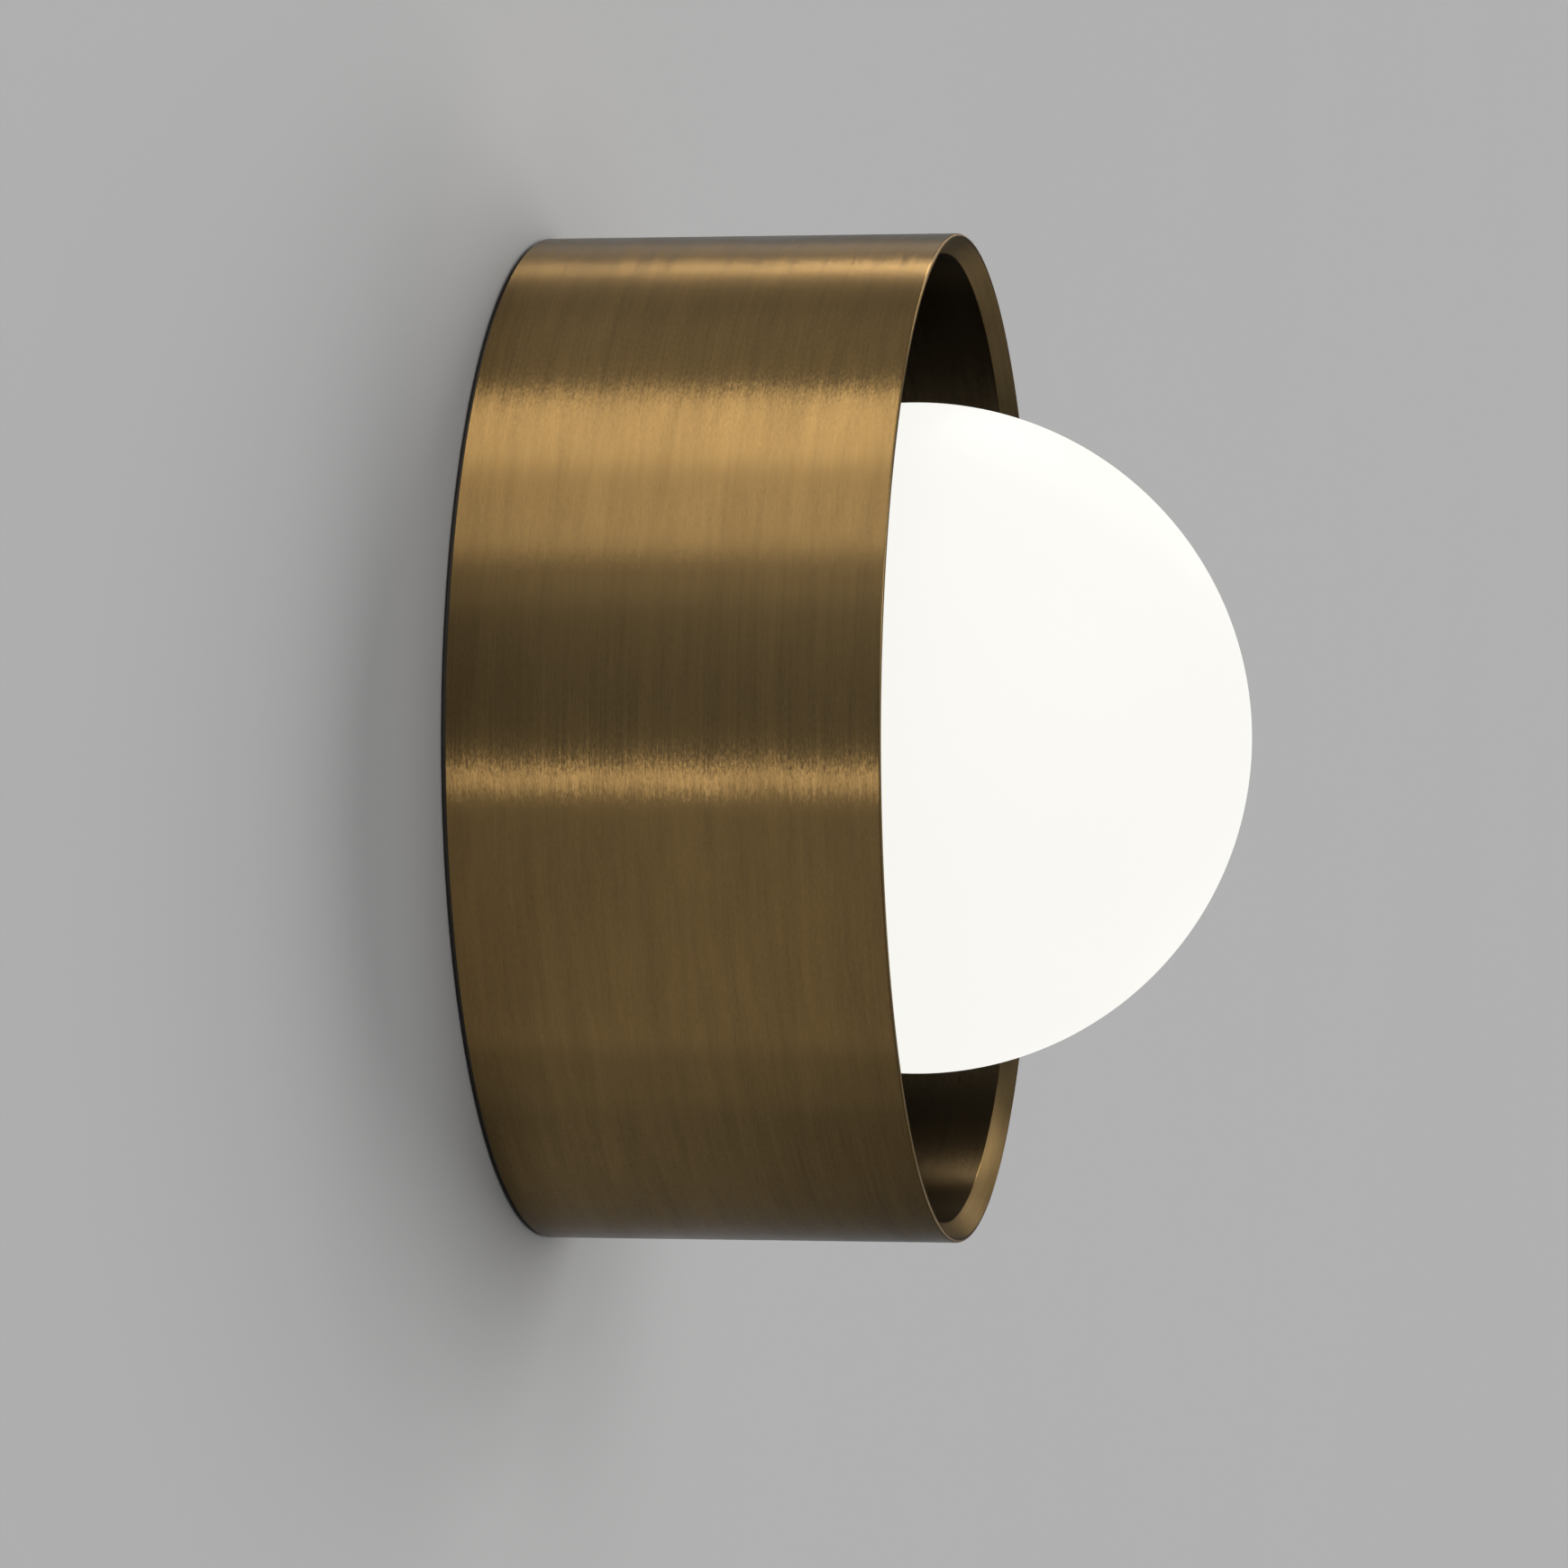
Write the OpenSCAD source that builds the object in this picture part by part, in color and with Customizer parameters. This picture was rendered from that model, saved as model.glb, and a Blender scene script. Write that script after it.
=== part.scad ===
// Orb wall light: a brass ring round an opal globe, on a pan that hangs on a wall bar.
// Sizes are in millimetres. The wall is the plane y = 0, the light stands out along -Y
// and Z is up. Each module draws with its own z axis pointing out of the wall.

/* [Ring] */
// Outside diameter of the ring
ring_d = 180; // [170:1:240]
// Wall thickness of the ring
ring_wall = 3.5; // [3:0.1:6]
// Length of the ring
ring_len = 74.2; // [50:0.1:110]
// Leg of the 45 degree bevel inside the front rim
ring_bevel = 2.8; // [1:0.1:2.8]
// Rounding of the front rim's outer edge
ring_edge = 0.5; // [0.2:0.1:1]

/* [Globe] */
// Outside diameter of the globe
globe_d = 120; // [110:1:150]
// Thickness of the opal glass
globe_wall = 2.8; // [2:0.1:4]
// Outside diameter of the glass neck
neck_d = 69; // [64:0.5:71]
// Thickness of the glass neck
neck_wall = 2.5; // [2:0.1:3]
// Lead of the globe's thread
thread_lead = 3.2; // [3:0.1:3.6]

/* [Pan] */
// Height of the pan's face over the wall
pan_depth = 16.3; // [16:0.1:24]
// Thickness of the pan's sheet
pan_sheet = 1.5; // [1:0.1:2]
// Bend radius of the pan's rim
pan_bend = 2; // [1.6:0.1:4]
// Clearance between the pan and the ring
pan_fit = 0.4; // [0.2:0.1:0.8]
// Thickness of the foam gasket on the wall
gasket_h = 0.8; // [0.5:0.1:3]

/* [Wall bar] */
// Distance between the wall slots
slot_pitch = 60; // [50:1:66]
// Length of a wall slot from end to end
slot_len = 12; // [8:0.5:16]
// Width of a wall slot
slot_w = 4.5; // [4:0.1:6]
// Width of the wall bar
bar_w = 20; // [14:1:24]
// Thickness of the wall bar
bar_t = 2; // [1.5:0.1:3]

/* [Cup and socket] */
// Gap between the wall and the cup's floor
cup_lift = 8; // [7.5:0.1:9]
// Thickness of the cup's sheet
cup_sheet = 1; // [0.8:0.1:1.2]
// Distance between the lamp's two pins
pin_pitch = 9; // [9:0.5:10]
// Height of the ceramic socket
socket_h = 17; // [16:0.5:22]
// Width of the ceramic socket
socket_w = 28; // [26:0.5:34]
// Depth of the ceramic socket
socket_t = 14; // [12:0.5:16]

/* [Lamp] */
// Diameter of the lamp
lamp_d = 16; // [15:0.5:18]
// Height of the lamp's base
lamp_base_h = 12; // [10:0.5:14]
// Height of the lamp's cover
lamp_cover_h = 24; // [22:0.5:30]
// Length of the lamp's pins
pin_len = 12; // [10:0.5:13]

/* [Terminals] */
// Distance between the poles of the terminal block
pole_pitch = 10; // [10:0.5:12]
// Height of the terminal block
block_h = 11; // [10:0.5:12]
// Length of the terminal block along its wires
block_t = 17; // [15:0.5:19]
// Outside diameter of an insulated wire
wire_d = 1.8; // [1.4:0.1:2.2]

/* [Hidden] */
$fn = 96;

// Shared allowances
cut = 1;              // overrun of every cutting shape past the face that it opens
screw_slack = 0.1;    // radial room round a screw's shank
hole_slack = 0.3;     // radial room round a piece that passes through sheet
cement_gap = 0.1;     // film between the glass neck and its collar
bite = 0.3;           // depth to which a welded or moulded detail runs into its carrier

// Ring
ring_r = ring_d / 2;
ring_bore_r = ring_r - ring_wall;
ring_z0 = gasket_h;
ring_z1 = ring_z0 + ring_len;
rim_flat = 0.2;       // flat left between the rim's bevel and its rounded edge
bevel_leg = min(ring_bevel, ring_wall - ring_edge - rim_flat);
edge_steps = 6;

// Pan and the studs welded to its back
pan_r = ring_bore_r - pan_fit;
pan_under = pan_depth - pan_sheet;
bend_steps = 6;
block_stud_r = 1.5;
earth_stud_r = 2;
earth_x = 30;
earth_stud_len = 8;
gasket_inset = 1.6;   // how far the gasket's edge lies inside the ring's edge
gasket_w = 8.4;
gasket_r = ring_r - gasket_inset;
gasket_in_r = gasket_r - gasket_w;

// Grub screws that hold the ring on the pan
grub_r = 2;
grub_tip_gap = 0.25;
grub_sunk = 0.2;
grub_key = 2;         // width of the hexagonal key across its flats
grub_key_depth = 1.6;
grub_z = (gasket_h + pan_under) / 2;

// Metric screws, nuts and washers: [shank radius, head radius, head height]
m3 = [1.5, 2.75, 1.8];
m4 = [2, 3.75, 2.4];
m3_nut = [5.5, 2.4];  // width across flats, height
m4_nut = [7, 3.2];
slot_depth_share = 0.55;
slot_width_share = 0.3;
washer_r = 4.5;
washer_t = 0.8;
pan_screw_len = 9;
cup_screw_len = 6;
bracket_screw_len = 6;
socket_screw_len = 7;

// Thread of the globe: a helical bead on the collar runs under lugs in the cup
collar_wall = 1.4;
bead_h = 1.3;
bead_foot = 0.8;      // half the bead's width at its foot
bead_tip = 0.5;       // half the bead's width at its tip
bead_turns = 1.25;
bead_steps = 36;      // sections in one turn
bead_edge = 1.2;      // height of the bead's first turn over the collar's lower end
thread_gap = 0.5;
lug_h = 1.3;
lug_foot = 0.7;
lug_tip = 0.4;
lug_arc = 20;
lug_count = 3;
lug_phase = 105;      // how far the first lug lies along the bead, in degrees
neck_r = neck_d / 2;
collar_in_r = neck_r + cement_gap;
collar_r = collar_in_r + collar_wall;
cup_bore_r = collar_r + bead_h + thread_gap;
cup_r = cup_bore_r + cup_sheet;
pan_hole_r = cup_r + hole_slack;

// Cup
cup_floor = cup_lift + cup_sheet;
flange_z = pan_depth + cup_sheet;
head_room = 4;        // from the cup's wall to the heads of the screws in its flange
flange_edge = 0.9;    // flange left outside those heads
cup_screw_ring = cup_r + head_room + m3[1];
flange_r = cup_screw_ring + m3[1] + flange_edge;
cup_screw_angles = [90, 210, 330];

// Globe and seal
globe_r = globe_d / 2;
seal_r = 1.75;
seal_gap = 0.2;
seal_inset = 2.6;     // from the cup's bore to the middle of the seal's cord
seal_ring_r = cup_bore_r + seal_inset;
seal_z = flange_z + seal_gap + seal_r;
globe_z = seal_z + sqrt(pow(globe_r + seal_r + seal_gap, 2) - pow(seal_ring_r, 2));
neck_root = globe_z - sqrt(pow(globe_r, 2) - pow(neck_r, 2));
collar_lift = 0.6;    // gap between the cup's floor and the collar
collar_z0 = cup_floor + collar_lift;
collar_z1 = neck_root - cement_gap;
lip_t = 1;
neck_z0 = collar_z0 + lip_t + cement_gap;
bead_z0 = collar_z0 + bead_edge;

// Wall bar and pillars
bar_end = 6.5;        // length of the bar past the middle of each pillar
pillar_flats = 7;
post_x = (flange_r + gasket_in_r) / 2;
pillar_top = pan_under;

// Bracket under the socket
bracket_t = 1.2;
bracket_rise = 6;
bracket_plate = 10;   // half the width of the raised plate
bracket_foot = 20;    // distance from the middle to the end of each foot
bracket_z1 = cup_floor + bracket_rise;
foot_screw_y = 15.5;
socket_margin = 3;    // from each end of the socket to its screw's middle
socket_screw_x = socket_w / 2 - socket_margin;
window_w = 15;
window_h = 8;

// Socket and its contacts
socket_z0 = bracket_z1;
socket_z1 = socket_z0 + socket_h;
socket_round = 2;
socket_roof = 3;
pin_t = 0.9;
pin_w = 2.4;
pin_slack = 0.3;
cavity = [4.4, 4.8];
contact_t = 0.4;
contact_len = 10;
contact_gap = 0.12;   // room between a pin and each leaf of its contact
contact_drop = 4.3;   // how far a contact's floor lies behind the pins' tips

// Grommet in the cup's floor
grommet_hole_r = 4.6;
grommet_bore_r = 3.2;
grommet_flange_r = 6;
grommet_flange_t = 0.9;
grommet_slack = 0.05;

// Lamp
lamp_gap = 0.3;
lamp_z0 = socket_z1 + lamp_gap;
contact_z0 = lamp_z0 - pin_len - contact_drop;
lamp_z1 = lamp_z0 + lamp_base_h;
lamp_z2 = lamp_z1 + lamp_cover_h;
cover_wall = 1;
cover_r = lamp_d / 2;
board = [11, 1, 15];
led = [2.8, 0.7, 3.5];
led_columns = 2;
led_rows = 3;

// Terminal block
block_y = (cup_r + pan_r - pan_sheet) / 2;
block_end = 5.5;      // body past the middle of each outer pole
block_z1 = pan_under;
block_z0 = block_z1 - block_h;
pole_z = (block_z0 + block_z1) / 2;
poles = 3;
cage = [5.2, 5.6];
cage_wall = 0.8;
cage_slack = 0.1;
cage_inset = 2;       // how far a cage lies inside each end of the block
terminal_screw_r = 1.5;
terminal_head_r = 1.9;
terminal_sunk = 0.6;
terminal_screw_y = 4;
wire_end_depth = 5;
block_nut_z = block_z0 - m3_nut[1];

// Earth tag
tag_r = 4.3;
tag_t = 0.8;
tag_barrel_r = 1.5;
tag_barrel_len = 6;
tag_reach = 6.5;      // from the stud's middle to the near end of the barrel
tag_offset = 7.5;     // from the terminal block's face to the tag's middle line
earth_y = block_y - block_t / 2 - tag_offset;
tag_drop = 0.2;       // room between the barrel and the pan
tag_barrel_z = pan_under - tag_drop - tag_barrel_r;

// Wires
wire_r = wire_d / 2;
wire_sides = 8;
route_steps = 4;      // rings laid along each stretch between two route points
lead_x = 1.5;         // where a lead passes through the grommet
spread_x = 5.6;       // where the leads pass beside the bracket's nuts
lead_gap = 0.1;       // from a contact to the lead below it
lead_drop = 1.6;      // straight length of a lead under its contact
bend_reach = 2.6;     // from the grommet's middle to the end of a lead's bend under it
under_z = (bar_t + cup_lift) / 2;

// Unit vector along v
function unit(v) = v / norm(v);

// Points of an arc of radius r about c, from angle a0 to a1
function arc(c, r, a0, a1, steps) =
    [for (i = [0:steps]) let (a = a0 + (a1 - a0) * i / steps) c + r * [cos(a), sin(a)]];

// Point at share t between p[i] and p[i + 1] on the smooth curve through p
function on_curve(p, i, t) =
    let (a = p[max(i - 1, 0)], b = p[i], c = p[i + 1], d = p[min(i + 2, len(p) - 1)],
         leave = norm(c - b) * unit(c - a), arrive = norm(c - b) * unit(d - b), s = 1 - t)
    b * (1 + 2 * t) * s * s + c * (1 + 2 * s) * t * t + leave * t * s * s - arrive * s * t * t;

// The smooth curve through p, as a list of points
function smooth(p) = concat(
    [for (i = [0:len(p) - 2], k = [0:route_steps - 1]) on_curve(p, i, k / route_steps)],
    [p[len(p) - 1]]
);

// Direction of the curve at its point i
function heading(c, i) = unit(c[min(i + 1, len(c) - 1)] - c[max(i - 1, 0)]);

// Ring of points round point i of the curve
function tube_ring(c, i, r, sides, side_axis) =
    let (t = heading(c, i), u = unit(cross(t, side_axis)), v = cross(t, u))
    [for (k = [0:sides - 1]) c[i] + r * (cos(360 * k / sides) * u + sin(360 * k / sides) * v)];

// Faces of a closed tube of rings, each with the same number of points
function tube_faces(rings, sides) = concat(
    [[for (k = [0:sides - 1]) k]],
    [for (i = [0:rings - 2], k = [0:sides - 1])
        let (a = i * sides + k, b = i * sides + (k + 1) % sides)
        each [[a, a + sides, b + sides], [a, b + sides, b]]],
    [[for (k = [sides - 1:-1:0]) (rings - 1) * sides + k]]
);

// Turns a piece's own z axis out of the wall
module out() {
    rotate([90, 0, 0]) children();
}

// A ring with square edges
module collar_ring(r_in, r_out, z0, z1) {
    translate([0, 0, z0])
        difference() {
            cylinder(r = r_out, h = z1 - z0);
            translate([0, 0, -cut]) cylinder(r = r_in, h = z1 - z0 + 2 * cut);
        }
}

// A hole of radius r between two heights, run past both
module hole(r, z0, z1) {
    translate([0, 0, z0 - cut]) cylinder(r = r, h = z1 - z0 + 2 * cut);
}

// A slotted screw whose head sits on z = 0, with its shank below
module slotted_screw(size, shank_len) {
    slot_depth = size[2] * slot_depth_share;
    slot_width = size[1] * slot_width_share;
    difference() {
        union() {
            cylinder(r = size[1], h = size[2]);
            translate([0, 0, -shank_len]) cylinder(r = size[0], h = shank_len + size[2] / 2);
        }
        translate([-size[1] - cut, -slot_width / 2, size[2] - slot_depth])
            cube([2 * (size[1] + cut), slot_width, slot_depth + cut]);
    }
}

// A hexagonal nut that stands on z = 0
module nut(size, screw_r) {
    difference() {
        cylinder(d = size[0] / cos(30), h = size[1], $fn = 6);
        hole(screw_r + screw_slack, 0, size[1]);
    }
}

// A block with four rounded upright edges, standing on z = 0
module rounded_block(size, round_r) {
    linear_extrude(size[2]) {
        square([size[0] - 2 * round_r, size[1]], center = true);
        square([size[0], size[1] - 2 * round_r], center = true);
        for (x = [-1, 1], y = [-1, 1])
            translate([x * (size[0] / 2 - round_r), y * (size[1] / 2 - round_r)])
                circle(r = round_r);
    }
}

// Copies at the cup's three screws
module at_cup_screws() {
    for (a = cup_screw_angles) rotate([0, 0, a]) translate([cup_screw_ring, 0, 0]) children();
}

// Copies on both sides of the middle
module both_sides(x, y) {
    for (s = [-1, 1]) translate([s * x, s * y, 0]) children();
}

// Copies at each pole of the terminal block
module at_poles() {
    for (i = [0:poles - 1]) translate([(i - (poles - 1) / 2) * pole_pitch, -block_y, 0]) children();
}

// A wire along a smooth curve through the points, which never runs along the side axis
module wire(points, side_axis) {
    c = smooth(points);
    rings = [for (i = [0:len(c) - 1]) each tube_ring(c, i, wire_r, wire_sides, side_axis)];
    polyhedron(rings, tube_faces(len(c), wire_sides));
}

module ring_shade() {
    color("#8a6a38") out() difference() {
        rotate_extrude() polygon(concat(
            [[ring_bore_r, ring_z0], [ring_r, ring_z0]],
            arc([ring_r - ring_edge, ring_z1 - ring_edge], ring_edge, 0, 90, edge_steps),
            [[ring_bore_r + bevel_leg, ring_z1], [ring_bore_r, ring_z1 - bevel_leg]]
        ));
        for (a = [90, 270])
            rotate([0, 0, a]) translate([0, 0, grub_z]) rotate([0, 90, 0])
                hole(grub_r + screw_slack / 2, ring_bore_r, ring_r);
    }
}

module ring_grub_screws() {
    tip = pan_r + grub_tip_gap;
    end = ring_r - grub_sunk;
    color("#5d4a2c") out() for (a = [90, 270])
        rotate([0, 0, a]) translate([0, 0, grub_z]) rotate([0, 90, 0])
            difference() {
                translate([0, 0, tip]) cylinder(r = grub_r, h = end - tip);
                translate([0, 0, end - grub_key_depth])
                    cylinder(d = grub_key / cos(30), h = grub_key_depth + cut, $fn = 6);
            }
}

module wall_gasket() {
    color("#1c1c1c") out() collar_ring(gasket_in_r, gasket_r, 0, gasket_h);
}

module wall_bar() {
    bar_len = 2 * (post_x + bar_end);
    color("#b4b6b8") out() difference() {
        rounded_block([bar_len, bar_w, bar_t], bar_w / 4);
        for (s = [-1, 1], e = [-1, 1])
            translate([s * slot_pitch / 2 + e * (slot_len - slot_w) / 2, 0, 0])
                hole(slot_w / 2, 0, bar_t);
        for (s = [-1, 1])
            translate([s * slot_pitch / 2 - (slot_len - slot_w) / 2, -slot_w / 2, -cut])
                cube([slot_len - slot_w, slot_w, bar_t + 2 * cut]);
    }
}

module bar_pillars() {
    color("#c3c5c7") out() both_sides(post_x, 0) translate([0, 0, bar_t])
        difference() {
            cylinder(d = pillar_flats / cos(30), h = pillar_top - bar_t, $fn = 6);
            translate([0, 0, m4[0]])
                cylinder(r = m4[0] + screw_slack, h = pillar_top - bar_t);
        }
}

module back_pan() {
    color("#8a6a38") out() difference() {
        rotate_extrude() polygon(concat(
            [[pan_hole_r, pan_under], [pan_r - pan_sheet, pan_under],
             [pan_r - pan_sheet, gasket_h], [pan_r, gasket_h]],
            arc([pan_r - pan_bend, pan_depth - pan_bend], pan_bend, 0, 90, bend_steps),
            [[pan_hole_r, pan_depth]]
        ));
        both_sides(post_x, 0) hole(m4[0] + screw_slack, pan_under, pan_depth);
        at_cup_screws() hole(m3[0] + screw_slack, pan_under, pan_depth);
    }
}

module pan_studs() {
    color("#c8a060") out() {
        translate([pole_pitch / 2, -block_y, block_nut_z])
            cylinder(r = block_stud_r, h = pan_under - block_nut_z);
        translate([earth_x, -earth_y, pan_under - earth_stud_len])
            cylinder(r = earth_stud_r, h = earth_stud_len);
    }
}

module pan_screws() {
    color("#8a6a38") out() both_sides(post_x, 0)
        translate([0, 0, pan_depth + washer_t]) slotted_screw(m4, pan_screw_len);
}

module pan_washers() {
    color("#8a6a38") out() both_sides(post_x, 0)
        collar_ring(m4[0] + screw_slack, washer_r, pan_depth, pan_depth + washer_t);
}

// Height of the thread bead at a phase along it, in degrees
function bead_z(phase) = bead_z0 + thread_lead * phase / 360;

module globe_cup() {
    color("#b9bbbd") out() {
        difference() {
            rotate_extrude() polygon([
                [grommet_hole_r, cup_lift], [cup_r, cup_lift], [cup_r, pan_depth],
                [flange_r, pan_depth], [flange_r, flange_z], [cup_bore_r, flange_z],
                [cup_bore_r, cup_floor], [grommet_hole_r, cup_floor]
            ]);
            at_cup_screws() hole(m3[0] + screw_slack, pan_depth, flange_z);
            both_sides(0, foot_screw_y) hole(m3[0] + screw_slack, cup_lift, cup_floor);
        }
        for (i = [0:lug_count - 1])
            let (phase = lug_phase + 360 * i / lug_count, z = bead_z(phase) + thread_lead / 2)
            rotate([0, 0, phase - lug_arc / 2]) rotate_extrude(angle = lug_arc) polygon([
                [cup_bore_r + bite, z - lug_foot], [cup_bore_r + bite, z + lug_foot],
                [cup_bore_r - lug_h, z + lug_tip], [cup_bore_r - lug_h, z - lug_tip]
            ]);
    }
}

module cup_screws() {
    color("#c9cbcd") out() at_cup_screws()
        translate([0, 0, flange_z]) slotted_screw(m3, cup_screw_len);
}

module cup_nuts() {
    color("#c9cbcd") out() at_cup_screws()
        translate([0, 0, pan_under - m3_nut[1]]) nut(m3_nut, m3[0]);
}

module globe() {
    color("#fbfaf4") out() difference() {
        union() {
            translate([0, 0, globe_z]) sphere(r = globe_r);
            translate([0, 0, neck_z0]) cylinder(r = neck_r, h = neck_root + 2 * globe_wall - neck_z0);
        }
        translate([0, 0, globe_z]) sphere(r = globe_r - globe_wall);
        hole(neck_r - neck_wall, 0, neck_root + 4 * globe_wall);
    }
}

module globe_collar() {
    root = collar_r - bite;
    tip = collar_r + bead_h;
    sections = round(bead_turns * bead_steps);
    bead = [for (i = [0:sections])
        let (phase = 360 * i / bead_steps, z = bead_z(phase))
        each [for (p = [[root, z + bead_foot], [tip, z + bead_tip],
                        [tip, z - bead_tip], [root, z - bead_foot]])
            [p[0] * cos(phase), p[0] * sin(phase), p[1]]]];
    color("#c8a060") out() {
        rotate_extrude() polygon([
            [neck_r - neck_wall, collar_z0], [collar_r, collar_z0], [collar_r, collar_z1],
            [collar_in_r, collar_z1], [collar_in_r, collar_z0 + lip_t],
            [neck_r - neck_wall, collar_z0 + lip_t]
        ]);
        polyhedron(bead, tube_faces(sections + 1, 4));
    }
}

module globe_seal() {
    color("#e6e6e2") out() rotate_extrude() translate([seal_ring_r, seal_z]) circle(r = seal_r);
}

module socket_bracket() {
    color("#b9bbbd") out() difference() {
        translate([-socket_w / 2, 0, 0]) rotate([90, 0, 90]) linear_extrude(socket_w)
            polygon([
                [-bracket_foot, cup_floor], [-bracket_foot, cup_floor + bracket_t],
                [-bracket_plate - bracket_t, cup_floor + bracket_t],
                [-bracket_plate - bracket_t, bracket_z1],
                [bracket_plate + bracket_t, bracket_z1],
                [bracket_plate + bracket_t, cup_floor + bracket_t],
                [bracket_foot, cup_floor + bracket_t], [bracket_foot, cup_floor],
                [bracket_plate, cup_floor], [bracket_plate, bracket_z1 - bracket_t],
                [-bracket_plate, bracket_z1 - bracket_t], [-bracket_plate, cup_floor]
            ]);
        both_sides(0, foot_screw_y) hole(m3[0] + screw_slack, cup_floor, cup_floor + bracket_t);
        both_sides(socket_screw_x, 0)
            hole(m3[0] + screw_slack, bracket_z1 - bracket_t, bracket_z1);
        translate([-window_w / 2, -window_h / 2, bracket_z1 - bracket_t - cut])
            cube([window_w, window_h, bracket_t + 2 * cut]);
    }
}

module bracket_screws() {
    color("#c9cbcd") out() both_sides(0, foot_screw_y)
        translate([0, 0, cup_floor + bracket_t]) slotted_screw(m3, bracket_screw_len);
}

module bracket_nuts() {
    color("#c9cbcd") out() both_sides(0, foot_screw_y)
        translate([0, 0, cup_lift - m3_nut[1]]) nut(m3_nut, m3[0]);
}

module lamp_socket() {
    color("#f1efe9") out() difference() {
        translate([0, 0, socket_z0]) rounded_block([socket_w, socket_t, socket_h], socket_round);
        both_sides(pin_pitch / 2, 0) {
            translate([-cavity[0] / 2, -cavity[1] / 2, socket_z0 - cut])
                cube([cavity[0], cavity[1], socket_h - socket_roof + cut]);
            translate([-pin_t / 2 - pin_slack, -pin_w / 2 - pin_slack, socket_z0])
                cube([pin_t + 2 * pin_slack, pin_w + 2 * pin_slack, socket_h + cut]);
        }
        both_sides(socket_screw_x, 0) translate([0, 0, socket_z0 - cut])
            cylinder(r = m3[0] + screw_slack, h = socket_screw_len + cut);
    }
}

module socket_screws() {
    color("#c9cbcd") out() both_sides(socket_screw_x, 0)
        translate([0, 0, bracket_z1 - bracket_t]) rotate([180, 0, 0])
            slotted_screw(m3, socket_screw_len);
}

module socket_contacts() {
    leaf_x = pin_t / 2 + contact_gap;
    color("#c08a52") out() both_sides(pin_pitch / 2, 0)
        translate([0, 0, contact_z0]) difference() {
            translate([-leaf_x - contact_t, -cavity[1] / 2, 0])
                cube([2 * (leaf_x + contact_t), cavity[1], contact_len]);
            translate([-leaf_x, -cavity[1] / 2 - cut, contact_t])
                cube([2 * leaf_x, cavity[1] + 2 * cut, contact_len]);
        }
}

module wire_grommet() {
    neck = grommet_hole_r - grommet_slack;
    z0 = cup_lift - grommet_slack;
    z1 = cup_floor + grommet_slack;
    color("#2a2a2a") out() rotate_extrude() polygon([
        [grommet_bore_r, z0 - grommet_flange_t], [grommet_flange_r, z0 - grommet_flange_t],
        [grommet_flange_r, z0], [neck, z0], [neck, z1], [grommet_flange_r, z1],
        [grommet_flange_r, z1 + grommet_flange_t], [grommet_bore_r, z1 + grommet_flange_t]
    ]);
}

module lamp_base() {
    color("#efeee9") out() translate([0, 0, lamp_z0])
        cylinder(d = lamp_d, h = lamp_base_h);
}

module lamp_cover() {
    straight = lamp_cover_h - cover_r;
    color("#f7f6f0") out() translate([0, 0, lamp_z1]) difference() {
        union() {
            cylinder(r = cover_r, h = straight);
            translate([0, 0, straight]) sphere(r = cover_r);
        }
        translate([0, 0, -cover_r - cut]) cylinder(r = cover_r + cut, h = cover_r + cut);
        translate([0, 0, -cut]) cylinder(r = cover_r - cover_wall, h = straight + cut);
        translate([0, 0, straight]) sphere(r = cover_r - cover_wall);
    }
}

module lamp_pins() {
    color("#c9cbcd") out() both_sides(pin_pitch / 2, 0)
        translate([-pin_t / 2, -pin_w / 2, lamp_z0 - pin_len]) cube([pin_t, pin_w, pin_len]);
}

module lamp_board() {
    color("#e9ebe6") out() translate([-board[0] / 2, -board[1] / 2, lamp_z1]) cube(board);
}

module lamp_leds() {
    step_x = board[0] / led_columns;
    step_z = board[2] / led_rows;
    color("#f3d36a") out()
        for (side = [0, 180], i = [0:led_columns - 1], k = [0:led_rows - 1])
            rotate([0, 0, side])
                translate([(i + 0.5) * step_x - board[0] / 2 - led[0] / 2, board[1] / 2,
                           lamp_z1 + (k + 0.5) * step_z - led[2] / 2])
                    cube(led);
}

module terminal_block() {
    body = [(poles - 1) * pole_pitch + 2 * block_end, block_t, block_h];
    channel = cage + [2 * cage_slack, 2 * cage_slack];
    color("#ece9df") out() difference() {
        translate([-body[0] / 2, -block_y - body[1] / 2, block_z0]) cube(body);
        at_poles() {
            translate([-channel[0] / 2, -block_t / 2 - cut, pole_z - channel[1] / 2])
                cube([channel[0], block_t + 2 * cut, channel[1]]);
            both_sides(0, terminal_screw_y)
                translate([0, 0, block_z0 - cut])
                    cylinder(r = terminal_head_r + screw_slack, h = pole_z - block_z0 + cut);
        }
        translate([pole_pitch / 2, -block_y, 0])
            hole(block_stud_r + screw_slack, block_z0, block_z1);
    }
}

module terminal_cages() {
    cage_len = block_t - 2 * cage_inset;
    color("#c8a060") out() at_poles()
        translate([-cage[0] / 2, -cage_len / 2, pole_z - cage[1] / 2]) difference() {
            cube([cage[0], cage_len, cage[1]]);
            translate([cage_wall, -cut, cage_wall])
                cube([cage[0] - 2 * cage_wall, cage_len + 2 * cut, cage[1] - 2 * cage_wall]);
            for (y = [-1, 1])
                translate([cage[0] / 2, cage_len / 2 + y * terminal_screw_y, -cut])
                    cylinder(r = terminal_screw_r + screw_slack, h = cage_wall + 2 * cut);
        }
}

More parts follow.
